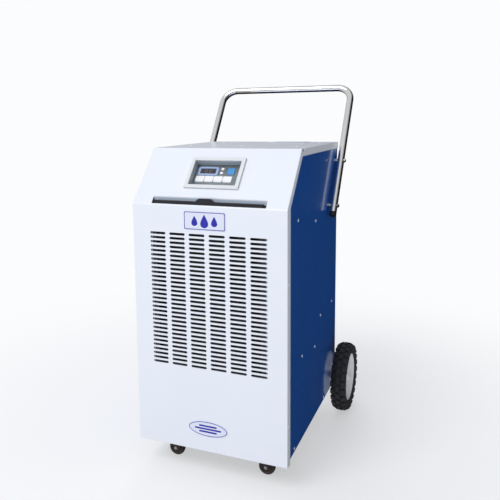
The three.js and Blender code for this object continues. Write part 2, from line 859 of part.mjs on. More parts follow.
// The axle carries a collar at each end that keeps the wheel off the side panel.
function axle() {
  const end = wheelX + hubOuter - gap;
  const collarOut = wheelX - hubInner - gap;
  const collarIn = sideOuter + axleCollarOffWall;
  return turned([
    [0, -end],
    [axleRadius, -end],
    [axleRadius, -collarOut],
    [axleCollarRadius, -collarOut],
    [axleCollarRadius, -collarIn],
    [axleRadius, -collarIn],
    [axleRadius, collarIn],
    [axleCollarRadius, collarIn],
    [axleCollarRadius, collarOut],
    [axleRadius, collarOut],
    [axleRadius, end],
    [0, end],
  ], 'x', 16);
}

addPiece('axle', axle(), galvanised).position.set(0, axleY, wheelRadius);
for (const [name, side] of sides) {
  const parts = [
    [`wheel_rim_${name}`, wheelRim(), rimSilver],
    [`tyre_${name}`, tyre(), rubber],
    [`hub_cap_${name}`, hubCap(), chrome],
  ];
  for (const [pieceName, geometry, material] of parts) {
    const piece = side > 0 ? geometry : mirrored(geometry);
    addPiece(pieceName, piece, material).position.set(side * wheelX, axleY, wheelRadius);
  }
}

// ---------------------------------------------------------------- casters

// Made about the swivel axis, with the pan's underside at z = casterHeight.
const casterHeight = panFloor - gap;
const casterPlateLow = casterHeight - casterPlateThickness;
const bossLow = casterPlateLow - casterBossHeight;
const forkTop = bossLow - gap;
const cheek = casterWheelWidth / 2 + forkGap;
const pinHole = casterPinRadius + gap;

function casterPlate() {
  const half = casterPlateSize / 2;
  return join(
    box(-half, half, -half, half, casterPlateLow, casterHeight),
    rod(casterBossRadius, bossLow, casterPlateLow + 1, 'z', 16),
  );
}

// A crown under the boss and two cheeks that reach back to the wheel's pin, along +Y.
function casterFork() {
  const crownLow = forkTop - forkCrown;
  const halfDepth = forkDepth / 2;
  const cheekProfile = [
    [-halfDepth, forkTop],
    [casterTrail - halfDepth, casterWheelRadius - forkBelowPin],
    [casterTrail + halfDepth, casterWheelRadius - forkBelowPin],
    [casterTrail + halfDepth, forkTop],
  ];
  const outer = cheek + forkThickness;
  const body = join(
    profileSlab(cheekProfile, cheek, outer),
    profileSlab(cheekProfile, -outer, -cheek),
    box(-outer, outer, -halfDepth, casterTrail + halfDepth, crownLow, forkTop),
  );
  const hole = rod(pinHole, -bodyWidth, bodyWidth, 'x', 10);
  return cut(body, hole.translate(0, casterTrail, casterWheelRadius));
}

function casterWheel() {
  const half = casterWheelWidth / 2;
  const tread = cornerRadius(casterWheelRadius, 20);
  return turned([
    [pinHole, half],
    [casterWheelRadius - casterTreadEdge, half],
    [casterWheelRadius - casterTreadEdge / 4, half - casterTreadEdge / 8],
    [tread, half - casterTreadEdge / 2],
    [tread, casterTreadEdge / 2 - half],
    [casterWheelRadius - casterTreadEdge / 4, casterTreadEdge / 8 - half],
    [casterWheelRadius - casterTreadEdge, -half],
    [pinHole, -half],
  ], 'x', 20);
}

function casterPin() {
  const outer = cheek + forkThickness;
  return turned([
    [0, -outer - pinHeadHeight],
    [pinHeadRadius, -outer - pinHeadHeight],
    [pinHeadRadius, -outer - gap],
    [casterPinRadius, -outer - gap],
    [casterPinRadius, outer + pinHeadHeight],
    [0, outer + pinHeadHeight],
  ], 'x', 10);
}

// At rest the casters stand turned outwards, so their wheels face the front.
for (const [name, side] of sides) {
  const x = side * casterX;
  const wheelAt = x + side * casterTrail;
  const outwards = (geometry) => geometry.rotateZ((-side * Math.PI) / 2);
  addPiece(`caster_plate_${name}`, casterPlate(), galvanised)
    .position.set(x, casterFromFront, 0);
  addPiece(`caster_fork_${name}`, outwards(casterFork()), casterBrown)
    .position.set(x, casterFromFront, 0);
  addPiece(`caster_wheel_${name}`, outwards(casterWheel()), casterBrown)
    .position.set(wheelAt, casterFromFront, casterWheelRadius);
  addPiece(`caster_pin_${name}`, outwards(casterPin()), galvanised)
    .position.set(wheelAt, casterFromFront, casterWheelRadius);
}

// ---------------------------------------------------------------- cooling circuit and air path

// A finned block between two end plates.
function coil(front) {
  const rear = front + coilThickness;
  const plates = sides.map(([, side]) => {
    const [x0, x1] = [side * coilHalf, side * (coilHalf + coilEndPlate)].sort((a, b) => a - b);
    return box(x0, x1, front - coilEndPlateProud, rear + coilEndPlateProud, coilBottom, coilTop);
  });
  return join(box(-coilHalf, coilHalf, front, rear, coilBottom, coilTop), ...plates);
}

function drainPan() {
  const x = coilHalf + coilEndPlate + drainPanMargin / 2;
  const [y0, y1] = [coilFront - drainPanMargin, coilsRear + drainPanMargin];
  const low = shelfHeight + sheet + gap;
  return cut(
    box(-x, x, y0, y1, low, low + drainPanRim),
    box(-x + sheet, x - sheet, y0 + sheet, y1 - sheet, low + sheet, low + drainPanRim + pastEdge),
  );
}

function partitionShelf() {
  const shelf = box(-innerHalf, innerHalf, shelfFront, casingRear - sheet - gap,
    shelfHeight, shelfHeight + sheet);
  const hole = rod(pipeRadius + pipeClearance, 0, bodyTop, 'z').translate(pipeX, pipeY, 0);
  return cut(shelf, hole);
}

// A plate with a round collar for the fan and a spider that carries the motor.
function fanShroud() {
  const inner = fanRadius + fanTipGap;
  const [y0, y1] = [shroudFront, shroudFront + shroudCollar];
  const plate = box(-coilHalf, coilHalf, y0, y0 + sheet, coilBottom, coilTop);
  const collar = rod(inner + 2 * sheet, y0, y1, 'y', 28).translate(0, 0, fanZ);
  const bore = rod(inner, y0 - pastEdge, y1 + pastEdge, 'y', 28).translate(0, 0, fanZ);
  const opened = cut(join(plate, collar), bore);
  const spider = [0, 1, 2].map((i) => {
    const arm = box(-spiderArm / 2, spiderArm / 2, y1 - sheet, y1, motorRadius - spiderArm,
      inner + sheet);
    return arm.rotateY((2 * Math.PI * i) / 3).translate(0, 0, fanZ);
  });
  const plateRing = ring(motorShaftRadius + spiderArm / 2, motorRadius, y1 - sheet, y1, 'y', 16)
    .translate(0, 0, fanZ);
  return join(opened, ...spider, plateRing);
}

function fanMotor() {
  const front = shroudFront + shroudCollar + gap;
  const shaftEnd = shroudFront + sheet;
  return turned([
    [0, shaftEnd],
    [motorShaftRadius, shaftEnd],
    [motorShaftRadius, front],
    [motorRadius - motorEdge / 2, front],
    [motorRadius, front + motorEdge / 2],
    [motorRadius, front + motorLength - motorEdge],
    [motorRadius - motorEdge, front + motorLength],
    [0, front + motorLength],
  ], 'y', 16).translate(0, 0, fanZ);
}

function fan() {
  const y0 = shroudFront + fanInShroud;
  const y1 = y0 + fanWidth;
  const hub = rod(fanHubRadius, y0, y1, 'y', 16);
  const blades = [];
  for (let i = 0; i < fanBlades; i += 1) {
    blades.push(bladeSheet(y0, y1).rotateY((2 * Math.PI * i) / fanBlades));
  }
  const bore = rod(motorShaftRadius + 1, y0 - pastEdge, y1 + pastEdge, 'y', 16);
  return cut(join(hub, ...blades), bore).translate(0, 0, fanZ);
}

// One pitched blade along +Z: a thin slab that runs from the front edge to the rear edge.
function bladeSheet(y0, y1) {
  const halfChord = bladeChord / 2;
  const [low, high] = [fanHubRadius - 6, fanRadius - 2];
  const section = new THREE.Shape([
    new THREE.Vector2(-halfChord, y0 + 2),
    new THREE.Vector2(-halfChord, y0 + 2 + bladeThickness),
    new THREE.Vector2(halfChord, y1 - 1),
    new THREE.Vector2(halfChord, y1 - 1 - bladeThickness),
  ]);
  const slab = new THREE.ExtrudeGeometry(section, { depth: high - low, bevelEnabled: false });
  const round = rod(fanRadius, y0 - pastEdge, y1 + pastEdge, 'y', 28);
  return toGeometry(toSolid(slab.translate(0, 0, low)).intersect(toSolid(round)));
}

function compressor() {
  const low = panTop + gap;
  const [r, h] = [compressorRadius, compressorHeight];
  const shell = turned([
    [0, low + 1],
    [r * 0.85, low + 1],
    [r, low + h * 0.11],
    [r, low + h * 0.8],
    [r * 0.72, low + h * 0.95],
    [0, low + h],
  ], 'z', 20);
  const foot = box(-r * 1.13, r * 1.13, -r * 0.75, r * 0.75, low, low + compressorFoot);
  return join(shell, foot).translate(compressorX, compressorY, 0);
}

// From the compressor's side, forward under the shelf and up to the evaporator's end.
function suctionPipe() {
  const y0 = compressorY;
  const z0 = panTop + compressorHeight * 0.6;
  const z1 = shelfHeight - pipeBelowShelf;
  const corners = [
    [compressorX - compressorRadius - gap, y0, z0],
    [pipeX, y0, z0],
    [pipeX, y0, z1],
    [pipeX, pipeY, z1],
    [pipeX, pipeY, pipeHeight],
  ].map(([x, y, z]) => new THREE.Vector3(x, y, z));
  return tube(new BentPath(corners, pipeBend, 3), pipeRadius, 0, 8);
}

function electricalBox() {
  const x1 = innerHalf - electricalOffSide;
  const y0 = compressorY + compressorRadius + electricalOffCompressor;
  return box(x1 - electricalWidth, x1, y0, y0 + electricalDepth,
    panTop + gap, panTop + gap + electricalHeight);
}

addPiece('evaporator_coil', coil(coilFront), coilMetal);
addPiece('condenser_coil', coil(condenserFront), coilMetal);
addPiece('drain_pan', drainPan(), galvanised);
addPiece('partition_shelf', partitionShelf(), galvanised);
addPiece('fan_shroud', fanShroud(), galvanised);
addPiece('fan_motor', fanMotor(), compressorBlack);
addPiece('fan', fan(), blackPlastic);
addPiece('compressor', compressor(), compressorBlack);
addPiece('suction_pipe', suctionPipe(), copper);
addPiece('electrical_box', electricalBox(), galvanised);

// ---------------------------------------------------------------- rear fittings and marks

// A turned fitting through the rear panel: a shank inside, a flange and a stepped nose outside.
function rearFitting(bore, radius, length, x, z) {
  const flange = casingRear + gap;
  const nose = flange + fittingFlangeThickness;
  const shankEnd = casingRear - sheet - fittingShank;
  return turned([
    [bore, shankEnd],
    [radius, shankEnd],
    [radius, flange],
    [fittingFlange, flange],
    [fittingFlange, nose],
    [radius, nose],
    [radius, nose + length / 2],
    [radius + 1.5, nose + length / 2],
    [radius - 1, nose + length],
    [bore, nose + length],
  ], 'y', 12).translate(x, 0, z);
}

function rectangularBadge({ width, height, belowCrease }) {
  const z = creaseHeight - belowCrease;
  return box(badgeX - width / 2, badgeX + width / 2, -gap - badgeThickness, -gap,
    z - height / 2, z + height / 2);
}

function ovalBadge({ width, height, aboveBottom }) {
  const z = panelBottom + aboveBottom;
  const plate = rod(1, -gap - badgeThickness, -gap, 'y', 20);
  return plate.scale(width / 2, 1, height / 2).translate(badgeX, 0, z);
}

addPiece('drain_spout', rearFitting(spoutBore, spoutRadius, spoutLength, spoutX, spoutZ),
  blackPlastic);
addPiece('cable_gland', rearFitting(glandBore, glandRadius, glandLength, glandX, glandZ),
  blackPlastic);
addPiece('upper_badge', rectangularBadge(upperBadge), keyWhite);
addPiece('lower_badge', ovalBadge(lowerBadge), keyWhite);

// ---------------------------------------------------------------- place on the footprint

const frontMost = -gap - badgeThickness;
const rearMost = handleY(handleBarHeight) + tubeRadius;
machine.position.y = -(frontMost + rearMost) / 2;

export default machine;
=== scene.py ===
"""Commercial dehumidifier: the visual model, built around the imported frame."""

import json
import math

import bmesh
import bpy
from bpy.props import FloatProperty, FloatVectorProperty, IntProperty, PointerProperty
from mathutils import Matrix, Vector


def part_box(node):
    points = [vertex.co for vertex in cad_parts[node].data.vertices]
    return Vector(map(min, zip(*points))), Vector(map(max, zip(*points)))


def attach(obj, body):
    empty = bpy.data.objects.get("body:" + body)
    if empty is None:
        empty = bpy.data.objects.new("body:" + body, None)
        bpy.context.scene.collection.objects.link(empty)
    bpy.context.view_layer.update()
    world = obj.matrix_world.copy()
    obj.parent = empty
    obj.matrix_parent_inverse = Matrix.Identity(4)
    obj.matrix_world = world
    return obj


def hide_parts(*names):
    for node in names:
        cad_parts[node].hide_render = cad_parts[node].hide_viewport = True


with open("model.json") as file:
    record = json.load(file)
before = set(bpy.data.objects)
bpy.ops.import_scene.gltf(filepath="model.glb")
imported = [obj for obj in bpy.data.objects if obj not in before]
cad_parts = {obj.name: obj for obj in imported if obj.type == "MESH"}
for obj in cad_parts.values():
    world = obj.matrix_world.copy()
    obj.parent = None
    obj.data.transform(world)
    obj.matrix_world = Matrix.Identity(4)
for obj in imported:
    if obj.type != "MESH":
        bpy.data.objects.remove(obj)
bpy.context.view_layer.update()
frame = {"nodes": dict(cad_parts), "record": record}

bl_info = {
    "name": "Commercial Dehumidifier",
    "version": (1, 0, 0),
    "blender": (4, 5, 0),
    "location": "View3D > Sidebar > Dehumidifier",
    "description": "Builds the panels, controls, handle and wheels of a commercial dehumidifier",
    "category": "Object",
}

MM = 0.001
GAP = 0.4 * MM  # play between neighbouring pieces
SIDES = (("left", -1), ("right", 1))
CABINET = "cabinet"
UPRIGHT = Matrix.Rotation(math.pi / 2, 4, "X")  # stands a flat outline up, facing the front

# ------------------------------------------------------------------ places read from the frame

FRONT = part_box("front_panel")[0].y
PANEL_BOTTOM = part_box("front_panel")[0].z
HALF_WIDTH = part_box("front_panel")[1].x
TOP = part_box("top_cover")[1].z
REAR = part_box("top_cover")[1].y
SLANT_RISE = 164 * MM
SLANT_DEPTH = 146 * MM
SLOT_REAR = 21 * MM
SLANT_LENGTH = math.hypot(SLANT_RISE, SLANT_DEPTH)
SLANT_ANGLE = math.atan2(SLANT_RISE, SLANT_DEPTH)
CREASE = TOP - SLANT_RISE

# Directions on the slanted face: x across, y up the face, z out of it.
SLANT = Matrix.Translation((0, FRONT, CREASE)) @ Matrix.Rotation(SLANT_ANGLE, 4, "X")


def slant_box(node):
    """Lowest and highest corners of a CAD node in the slanted face's directions."""
    to_face = SLANT.inverted()
    corners = [to_face @ vertex.co for vertex in frame["nodes"][node].data.vertices]
    low = Vector(min(c[k] for c in corners) for k in range(3))
    high = Vector(max(c[k] for c in corners) for k in range(3))
    return low, high


def slant_point(up, inset):
    """A point (y, z) up the slanted face, moved inwards from it."""
    y = FRONT + up * math.cos(SLANT_ANGLE) + inset * math.sin(SLANT_ANGLE)
    z = CREASE + up * math.sin(SLANT_ANGLE) - inset * math.cos(SLANT_ANGLE)
    return y, z


def crease_point(front_inset, slant_inset):
    """A point (y, z) at both insets from the crease between front and slanted face."""
    up = (front_inset - slant_inset * math.sin(SLANT_ANGLE)) / math.cos(SLANT_ANGLE)
    return slant_point(up, slant_inset)


def over_middle(low, high):
    """A move to the middle of a footprint."""
    return Matrix.Translation(((low.x + high.x) / 2, (low.y + high.y) / 2, 0))


def facing_front(low, high):
    """Directions on the back of a box: x across, y up, z towards the front."""
    return Matrix.Translation(((low.x + high.x) / 2, high.y, (low.z + high.z) / 2)) @ UPRIGHT


# ------------------------------------------------------------------ settings


def length(name, description, default):
    return FloatProperty(name=name, description=description, default=default,
                         unit="LENGTH", subtype="DISTANCE", precision=4)


def colour(name, description, default):
    return FloatVectorProperty(name=name, description=description, default=default,
                               size=3, subtype="COLOR", min=0, max=1)


class CasingSettings(bpy.types.PropertyGroup):
    sheet: length("Sheet", "Thickness of the folded sheet", 2 * MM)
    fold: length("Fold Radius", "Outer radius of the folds", 2.4 * MM)
    front_flange: length("Front Flange", "Width of the edges that lap over the sides", 28 * MM)
    slant_flange: length("Slant Flange", "The same beside the slanted face", 20 * MM)
    slot_columns: IntProperty(name="Slot Columns", description="Intake slots across", default=6)
    slot_rows: IntProperty(name="Slot Rows", description="Intake slots down", default=31)
    slot_length: length("Slot Length", "Length of one intake slot", 52 * MM)
    slot_height: length("Slot Height", "Height of one intake slot", 7.8 * MM)
    column_pitch: length("Column Pitch", "Slot column to slot column", 65.4 * MM)
    row_pitch: length("Row Pitch", "Slot row to slot row", 13.73 * MM)
    top_row: length("Top Row", "Top row of slots below the crease", 87.5 * MM)
    screw_radius: length("Screw Radius", "Radius of the sheet screws' heads", 3.4 * MM)
    grille_bars: IntProperty(name="Grille Bars", description="Bars of the outlet grille",
                             default=11)
    edge: length("Sheet Edge", "Rounding of cut sheet edges", 0.6 * MM)


class FilterSettings(bpy.types.PropertyGroup):
    wire: length("Wire", "Thickness of the filter's wires", 0.7 * MM)
    wire_pitch: length("Wire Pitch", "Wire to wire", 3.2 * MM)
    bar_height: length("Bar Height", "Height of the dark grip bar", 8.5 * MM)
    grip_width: length("Grip Width", "Width of the finger grip", 66 * MM)
    grip_offset: length("Grip Offset", "Finger grip from the middle", -6 * MM)
    lobe: length("Lobe", "Distance of each lobe from the grip's middle", 12.5 * MM)


class ControlSettings(bpy.types.PropertyGroup):
    bezel_edge: length("Bezel Edge", "Rounding of the bezel", 1.8 * MM)
    key_corner: length("Key Corner", "Corner radius of the keys", 3 * MM)
    cap: length("Key Cap", "Thickness of the keys' caps", 1.3 * MM)
    button_corner: length("Button Corner", "Corner radius of the small buttons", 1.6 * MM)
    frame_corner: length("Display Corner", "Corner radius of the display surround", 8 * MM)
    window_corner: length("Window Corner", "Corner radius of the window", 3 * MM)
    digit_height: length("Digit Height", "Height of the display's figures", 11 * MM)


class HandleSettings(bpy.types.PropertyGroup):
    lean: FloatProperty(name="Lean", description="Handle back from upright",
                        default=math.radians(34.6), unit="ROTATION", subtype="ANGLE")
    bend: length("Bend Radius", "Bend radius of the tube's centre line", 57 * MM)
    radius: length("Tube Radius", "Outer radius of the tube", 12.7 * MM)


class WheelSettings(bpy.types.PropertyGroup):
    rim_radius: length("Rim Radius", "Outer radius of the rim", 88 * MM)
    blocks: IntProperty(name="Tread Blocks", description="Blocks in one row", default=26)
    block_depth: length("Tread Depth", "Height of the tread blocks", 6 * MM)
    window_ring: length("Window Ring", "Radius of the ring of windows", 24 * MM)
    window_radius: length("Window Radius", "Radius of a window in the rim", 7 * MM)
    windows: IntProperty(name="Windows", description="Windows in the rim", default=5)


class FinishSettings(bpy.types.PropertyGroup):
    white: colour("White Paint", "Front and top", (0.80, 0.84, 0.92))
    blue: colour("Blue Paint", "Side and rear panels", (0.003, 0.090, 0.42))
    mark: colour("Mark Blue", "Marks on the two badges", (0.02, 0.02, 0.38))
    button: colour("Button Blue", "The square button", (0.05, 0.30, 0.70))
    surround: colour("Display Blue", "Surround of the display", (0.34, 0.46, 0.72))
    plate: colour("Plate Grey", "Plate behind the keys", (0.22, 0.29, 0.39))


class StageSettings(bpy.types.PropertyGroup):
    camera: FloatVectorProperty(name="Camera", description="Place of the camera", size=3,
                                default=(0.7376, -2.0269, 1.1185), subtype="TRANSLATION")
    yaw: FloatProperty(name="Yaw", description="Camera turned to the left",
                       default=0.40077, unit="ROTATION", subtype="ANGLE")
    pitch: FloatProperty(name="Pitch", description="Camera tipped down",
                         default=0.13748, unit="ROTATION", subtype="ANGLE")
    roll: FloatProperty(name="Roll", description="Camera rolled",
                        default=-0.01387, unit="ROTATION", subtype="ANGLE")
    lens: FloatProperty(name="Lens", description="Focal length in millimetres", default=44.0)
    shift: FloatVectorProperty(name="Shift", description="Lens shift", size=2,
                               default=(0.0558, -0.0972))
    backdrop: colour("Backdrop", "What the camera sees behind", (0.97, 0.975, 0.985))


class DehumidifierSettings(bpy.types.PropertyGroup):
    casing: PointerProperty(type=CasingSettings, name="Casing", description="Panels")
    filter: PointerProperty(type=FilterSettings, name="Filter", description="Air filter")
    control: PointerProperty(type=ControlSettings, name="Controls", description="Control unit")
    handle: PointerProperty(type=HandleSettings, name="Handle", description="Tube handle")
    wheel: PointerProperty(type=WheelSettings, name="Wheels", description="Rear wheels")
    finish: PointerProperty(type=FinishSettings, name="Finishes", description="Colours")
    stage: PointerProperty(type=StageSettings, name="Stage", description="Camera and light")


def settings():
    return bpy.context.scene.dehumidifier


# ------------------------------------------------------------------ node trees as Python


class Signal:
    """One output in a node tree; arithmetic on it adds Math nodes."""

    def __init__(self, graph, socket):
        self.graph = graph
        self.socket = socket

    def _math(self, operation, first, second):
        return self.graph.node("ShaderNodeMath", {"operation": operation}, {0: first, 1: second})

    def __add__(self, other):
        return self._math("ADD", self, other)

    def __radd__(self, other):
        return self._math("ADD", other, self)

    def __sub__(self, other):
        return self._math("SUBTRACT", self, other)

    def __rsub__(self, other):
        return self._math("SUBTRACT", other, self)

    def __mul__(self, other):
        return self._math("MULTIPLY", self, other)

    def __rmul__(self, other):
        return self._math("MULTIPLY", other, self)

    def above(self, edge):
        return self._math("GREATER_THAN", self, edge)

    def output(self, name):
        return Signal(self.graph, self.socket.node.outputs[name])


class Graph:
    """Adds nodes to a tree: settings first, then the values or links of its inputs."""

    def __init__(self, tree):
        self.tree = tree

    def node(self, kind, options=None, inputs=None, output=0):
        made = self.tree.nodes.new(kind)
        for name, value in (options or {}).items():
            if name == "stops":
                self._set_stops(made.color_ramp, value)
            else:
                setattr(made, name, value)
        for key, value in (inputs or {}).items():
            for one in value if isinstance(value, list) else [value]:
                if isinstance(one, Signal):
                    self.tree.links.new(one.socket, made.inputs[key])
                else:
                    made.inputs[key].default_value = one
        if not made.outputs:
            return None
        return Signal(self, made.outputs[output])

    @staticmethod
    def _set_stops(ramp, stops):
        for element, (place, shade) in zip(ramp.elements, stops):
            element.position = place
            element.color = (shade, shade, shade, 1)

    def mix(self, factor, first, second):
        return self.node("ShaderNodeMix", {"data_type": "RGBA"},
                         {0: factor, 6: first, 7: second}, output=2)


# ------------------------------------------------------------------ finishes


def opaque(shade):
    return (*shade, 1.0)


def scaled(shade, factor):
    return opaque(tuple(min(1.0, part * factor) for part in shade))


def start_material(name, **uniform):
    """A Principled material; uniform values go straight onto the shader's own sockets."""
    material = bpy.data.materials.new(name)
    material.use_nodes = True
    material.node_tree.nodes.clear()
    graph = Graph(material.node_tree)
    shader = graph.node("ShaderNodeBsdfPrincipled", inputs={
        key.replace("_", " ").title(): value for key, value in uniform.items()})
    graph.node("ShaderNodeOutputMaterial", inputs={"Surface": shader})
    place = graph.node("ShaderNodeTexCoord", output="Object")
    return material, graph, shader.socket.node, place


def link(graph, shader, name, signal):
    graph.tree.links.new(signal.socket, shader.inputs[name])


def noise(graph, place, scale, detail=2.0, rough=0.5):
    return graph.node("ShaderNodeTexNoise", inputs={
        "Vector": place, "Scale": scale, "Detail": detail, "Roughness": rough})


def stretched(graph, place, stretch):
    return graph.node("ShaderNodeMapping", inputs={"Vector": place, "Scale": stretch})


def bump(graph, shader, height, depth):
    surface = graph.node("ShaderNodeBump", inputs={
        "Height": height, "Strength": 1.0, "Distance": depth})
    link(graph, shader, "Normal", surface)


def powder_coat(name, shade, roughness, peel=0.00002, mottle=0.03, **uniform):
    """Sprayed paint: slight orange peel, broad mottling and a few duller patches."""
    material, graph, shader, place = start_material(name, **uniform)
    broad = noise(graph, place, 3.5, 3.0)
    rub = noise(graph, place, 42.0, 4.0, 0.65)
    tone = graph.mix(broad, scaled(shade, 1 - mottle), scaled(shade, 1 + mottle))
    speck = noise(graph, place, 900.0).above(0.74)
    link(graph, shader, "Base Color", graph.mix(speck * 0.18, tone, scaled(shade, 0.7)))
    link(graph, shader, "Roughness", roughness + (rub - 0.5) * 0.12)
    bump(graph, shader, noise(graph, place, 520.0, 1.0), peel)
    return material


def moulded(name, shade, roughness, grain=1400.0, depth=0.00003, **uniform):
    """Injection-moulded plastic: spark-eroded grain, faint flow tone and rubbed patches."""
    material, graph, shader, place = start_material(name, **uniform)
    cells = graph.node("ShaderNodeTexVoronoi", inputs={"Vector": place, "Scale": grain})
    flow = noise(graph, place, 18.0, 3.0)
    link(graph, shader, "Base Color", graph.mix(flow, scaled(shade, 0.92), scaled(shade, 1.07)))
    link(graph, shader, "Roughness", roughness + (noise(graph, place, 70.0, 3.0) - 0.5) * 0.2)
    bump(graph, shader, cells, depth)
    return material


def bezel_plastic(name, face, painted_recess_shade):
    """Pale plastic, with painted shade below the rim that stands on the slanted face."""
    material, graph, shader, place = start_material(name, roughness=0.42)
    rim = 1.5 * MM
    out = SLANT.to_3x3() @ Vector((0, 0, 1))
    height = graph.node("ShaderNodeVectorMath", {"operation": "DOT_PRODUCT"},
                        {0: place, 1: tuple(out)}, output="Value")
    level = SLANT.translation.dot(out) + rim
    flow = graph.mix(noise(graph, place, 18.0, 3.0), scaled(face, 0.94), scaled(face, 1.05))
    # Painted shade: below the rim's level, 1.5 mm over the slanted face, the colour turns to the
    # darker recess shade.
    shade = graph.mix(height.above(level), opaque(painted_recess_shade), flow)
    link(graph, shader, "Base Color", shade)
    cells = graph.node("ShaderNodeTexVoronoi", inputs={"Vector": place, "Scale": 1400.0})
    bump(graph, shader, cells, 0.00003)
    return material


def polished(name, shade, roughness, stretch=(30, 1, 1), **uniform):
    """Plated or drawn metal: fine lengthwise polishing lines and small stains."""
    material, graph, shader, place = start_material(name, metallic=1.0, **uniform)
    lines = noise(graph, stretched(graph, place, stretch), 90.0, 3.0)
    stain = noise(graph, place, 60.0, 4.0, 0.7)
    link(graph, shader, "Base Color", graph.mix(stain, scaled(shade, 0.93), scaled(shade, 1.03)))
    link(graph, shader, "Roughness", roughness + (lines - 0.4) * 0.08)
    bump(graph, shader, lines, 0.0000004)
    return material


def galvanised(name, shade):
    """Zinc-plated sheet with its crystal spangle."""
    material, graph, shader, place = start_material(name, metallic=0.85)
    spangle = graph.node("ShaderNodeTexVoronoi", inputs={"Vector": place, "Scale": 110.0},
                         output="Color")
    tone = graph.node("ShaderNodeSeparateColor", inputs={"Color": spangle})
    link(graph, shader, "Base Color", graph.mix(tone, scaled(shade, 0.8), scaled(shade, 1.15)))
    link(graph, shader, "Roughness", 0.34 + tone * 0.2)
    bump(graph, shader, noise(graph, place, 160.0), 0.00002)
    return material


def tyre_rubber(name, shade):
    """Black rubber with a fine skin and pale dust in the open patches."""
    material, graph, shader, place = start_material(name)
    dust = graph.node("ShaderNodeValToRGB", {"stops": ((0.52, 0.0), (0.8, 1.0))},
                      {"Fac": noise(graph, place, 30.0, 5.0, 0.7)})
    link(graph, shader, "Base Color", graph.mix(dust, opaque(shade), (0.055, 0.052, 0.048, 1)))
    link(graph, shader, "Roughness", 0.62 + noise(graph, place, 120.0) * 0.25)
    bump(graph, shader, noise(graph, place, 700.0, 3.0), 0.00008)
    return material


def display_glass(name):
    """Dark window with the faint rows of an unlit display behind it."""
    material, graph, shader, place = start_material(name, coat_weight=1.0, roughness=0.12)
    rows = graph.node("ShaderNodeTexWave", {"bands_direction": "Z"},
                      {"Vector": place, "Scale": 150.0})
    tint = graph.mix(rows * 0.5, (0.012, 0.014, 0.022, 1), (0.03, 0.026, 0.034, 1))
    link(graph, shader, "Base Color", tint)
    bump(graph, shader, noise(graph, place, 300.0), 0.000004)
    return material


def lit_figure(name):
    """Dim red display segments."""
    material, graph, shader, place = start_material(name, emission_strength=0.15, roughness=0.4)
    glow = graph.mix(noise(graph, place, 260.0), (0.14, 0.06, 0.07, 1), (0.24, 0.12, 0.08, 1))
    link(graph, shader, "Base Color", glow)
    link(graph, shader, "Emission Color", glow)
    return material


def circuit_board(name, shade):
    """Green board with copper tracks under its varnish."""
    material, graph, shader, place = start_material(name, roughness=0.35)
    tracks = graph.node("ShaderNodeTexBrick", inputs={
        "Vector": place, "Scale": 160.0, "Mortar Size": 0.03,
        "Color1": opaque(shade), "Color2": scaled(shade, 1.2), "Mortar": scaled(shade, 2.4)})
    link(graph, shader, "Base Color", tracks)
    bump(graph, shader, noise(graph, place, 400.0), 0.00002)
    return material


FINISHES = {}


def make_finishes():
    """Every material, kept under its record slot's name, or a name of its own."""
    tone = settings().finish
    white, blue = tuple(tone.white), tuple(tone.blue)
    made = {
        "white_paint": powder_coat("white_paint", white, 0.34, coat_weight=0.25,
                                   coat_roughness=0.12),
        "blue_paint": powder_coat("blue_paint", blue, 0.30, 0.000006, coat_weight=0.75,
                                  coat_roughness=0.07),
        "galvanised": galvanised("galvanised", (0.50, 0.52, 0.54)),
        "grey_plastic": moulded("grey_plastic", (0.70, 0.73, 0.78), 0.42),
        # The fold's finish is the white paint darkened as painted shade.
        "fold_painted_shade": powder_coat("fold_painted_shade", (0.50, 0.58, 0.70), 0.34),
        # The bezel's second colour is painted shade for its recess.
        "bezel": bezel_plastic("bezel", (0.72, 0.75, 0.77), (0.40, 0.46, 0.50)),
        "dark_plate": moulded("dark_plate", tuple(tone.plate), 0.5),
        "display_blue": moulded("display_blue", tuple(tone.surround), 0.38, 900.0, 0.00001),
        "display_glass": display_glass("display_glass"),
        "figure": lit_figure("figure"),
        "key_white": moulded("key_white", (0.94, 0.95, 0.97), 0.4, 1100.0),
        "key_blue": moulded("key_blue", tuple(tone.button), 0.28, coat_weight=0.5),
        "black_plastic": moulded("black_plastic", (0.012, 0.013, 0.018), 0.42),
        "filter_mesh": moulded("filter_mesh", (0.006, 0.006, 0.007), 0.8),
        "chrome": polished("chrome", (0.90, 0.88, 0.84), 0.13, (0.1, 0.1, 0.1)),
        "screw": powder_coat("screw", (0.92, 0.93, 0.95), 0.45, 0.000004),
        "rubber": tyre_rubber("rubber", (0.034, 0.034, 0.038)),
        "rim_silver": powder_coat("rim_silver", (0.94, 0.94, 0.96), 0.3, 0.00001,
                                  coat_weight=0.4),
        "caster_brown": moulded("caster_brown", (0.040, 0.024, 0.018), 0.4),
        "coil_metal": polished("coil_metal", (0.62, 0.64, 0.66), 0.32, (1, 1, 12)),
        "compressor_black": powder_coat("compressor_black", (0.012, 0.012, 0.014), 0.32),
        "board_green": circuit_board("board_green", (0.02, 0.12, 0.05)),
        "copper": polished("copper", (0.72, 0.34, 0.18), 0.25, (1, 12, 1)),
        "badge": powder_coat("badge", (0.72, 0.76, 0.90), 0.22, 0.000004, 0.01),
        "badge_mark": powder_coat("badge_mark", tuple(tone.mark), 0.25, 0.000004),
    }
    FINISHES.update(made)


# ------------------------------------------------------------------ mesh helpers


def evaluated(piece):
    """Turns a piece's modifiers into plain mesh."""
    shown = piece.evaluated_get(bpy.context.evaluated_depsgraph_get())
    mesh = bpy.data.meshes.new_from_object(shown)
    old = piece.data
    piece.modifiers.clear()
    piece.data = mesh
    bpy.data.meshes.remove(old)
    mesh.name = piece.name
    return piece


def mesh_from(bm, name):
    mesh = bpy.data.meshes.new(name)
    bm.to_mesh(mesh)
    bm.free()
    return mesh


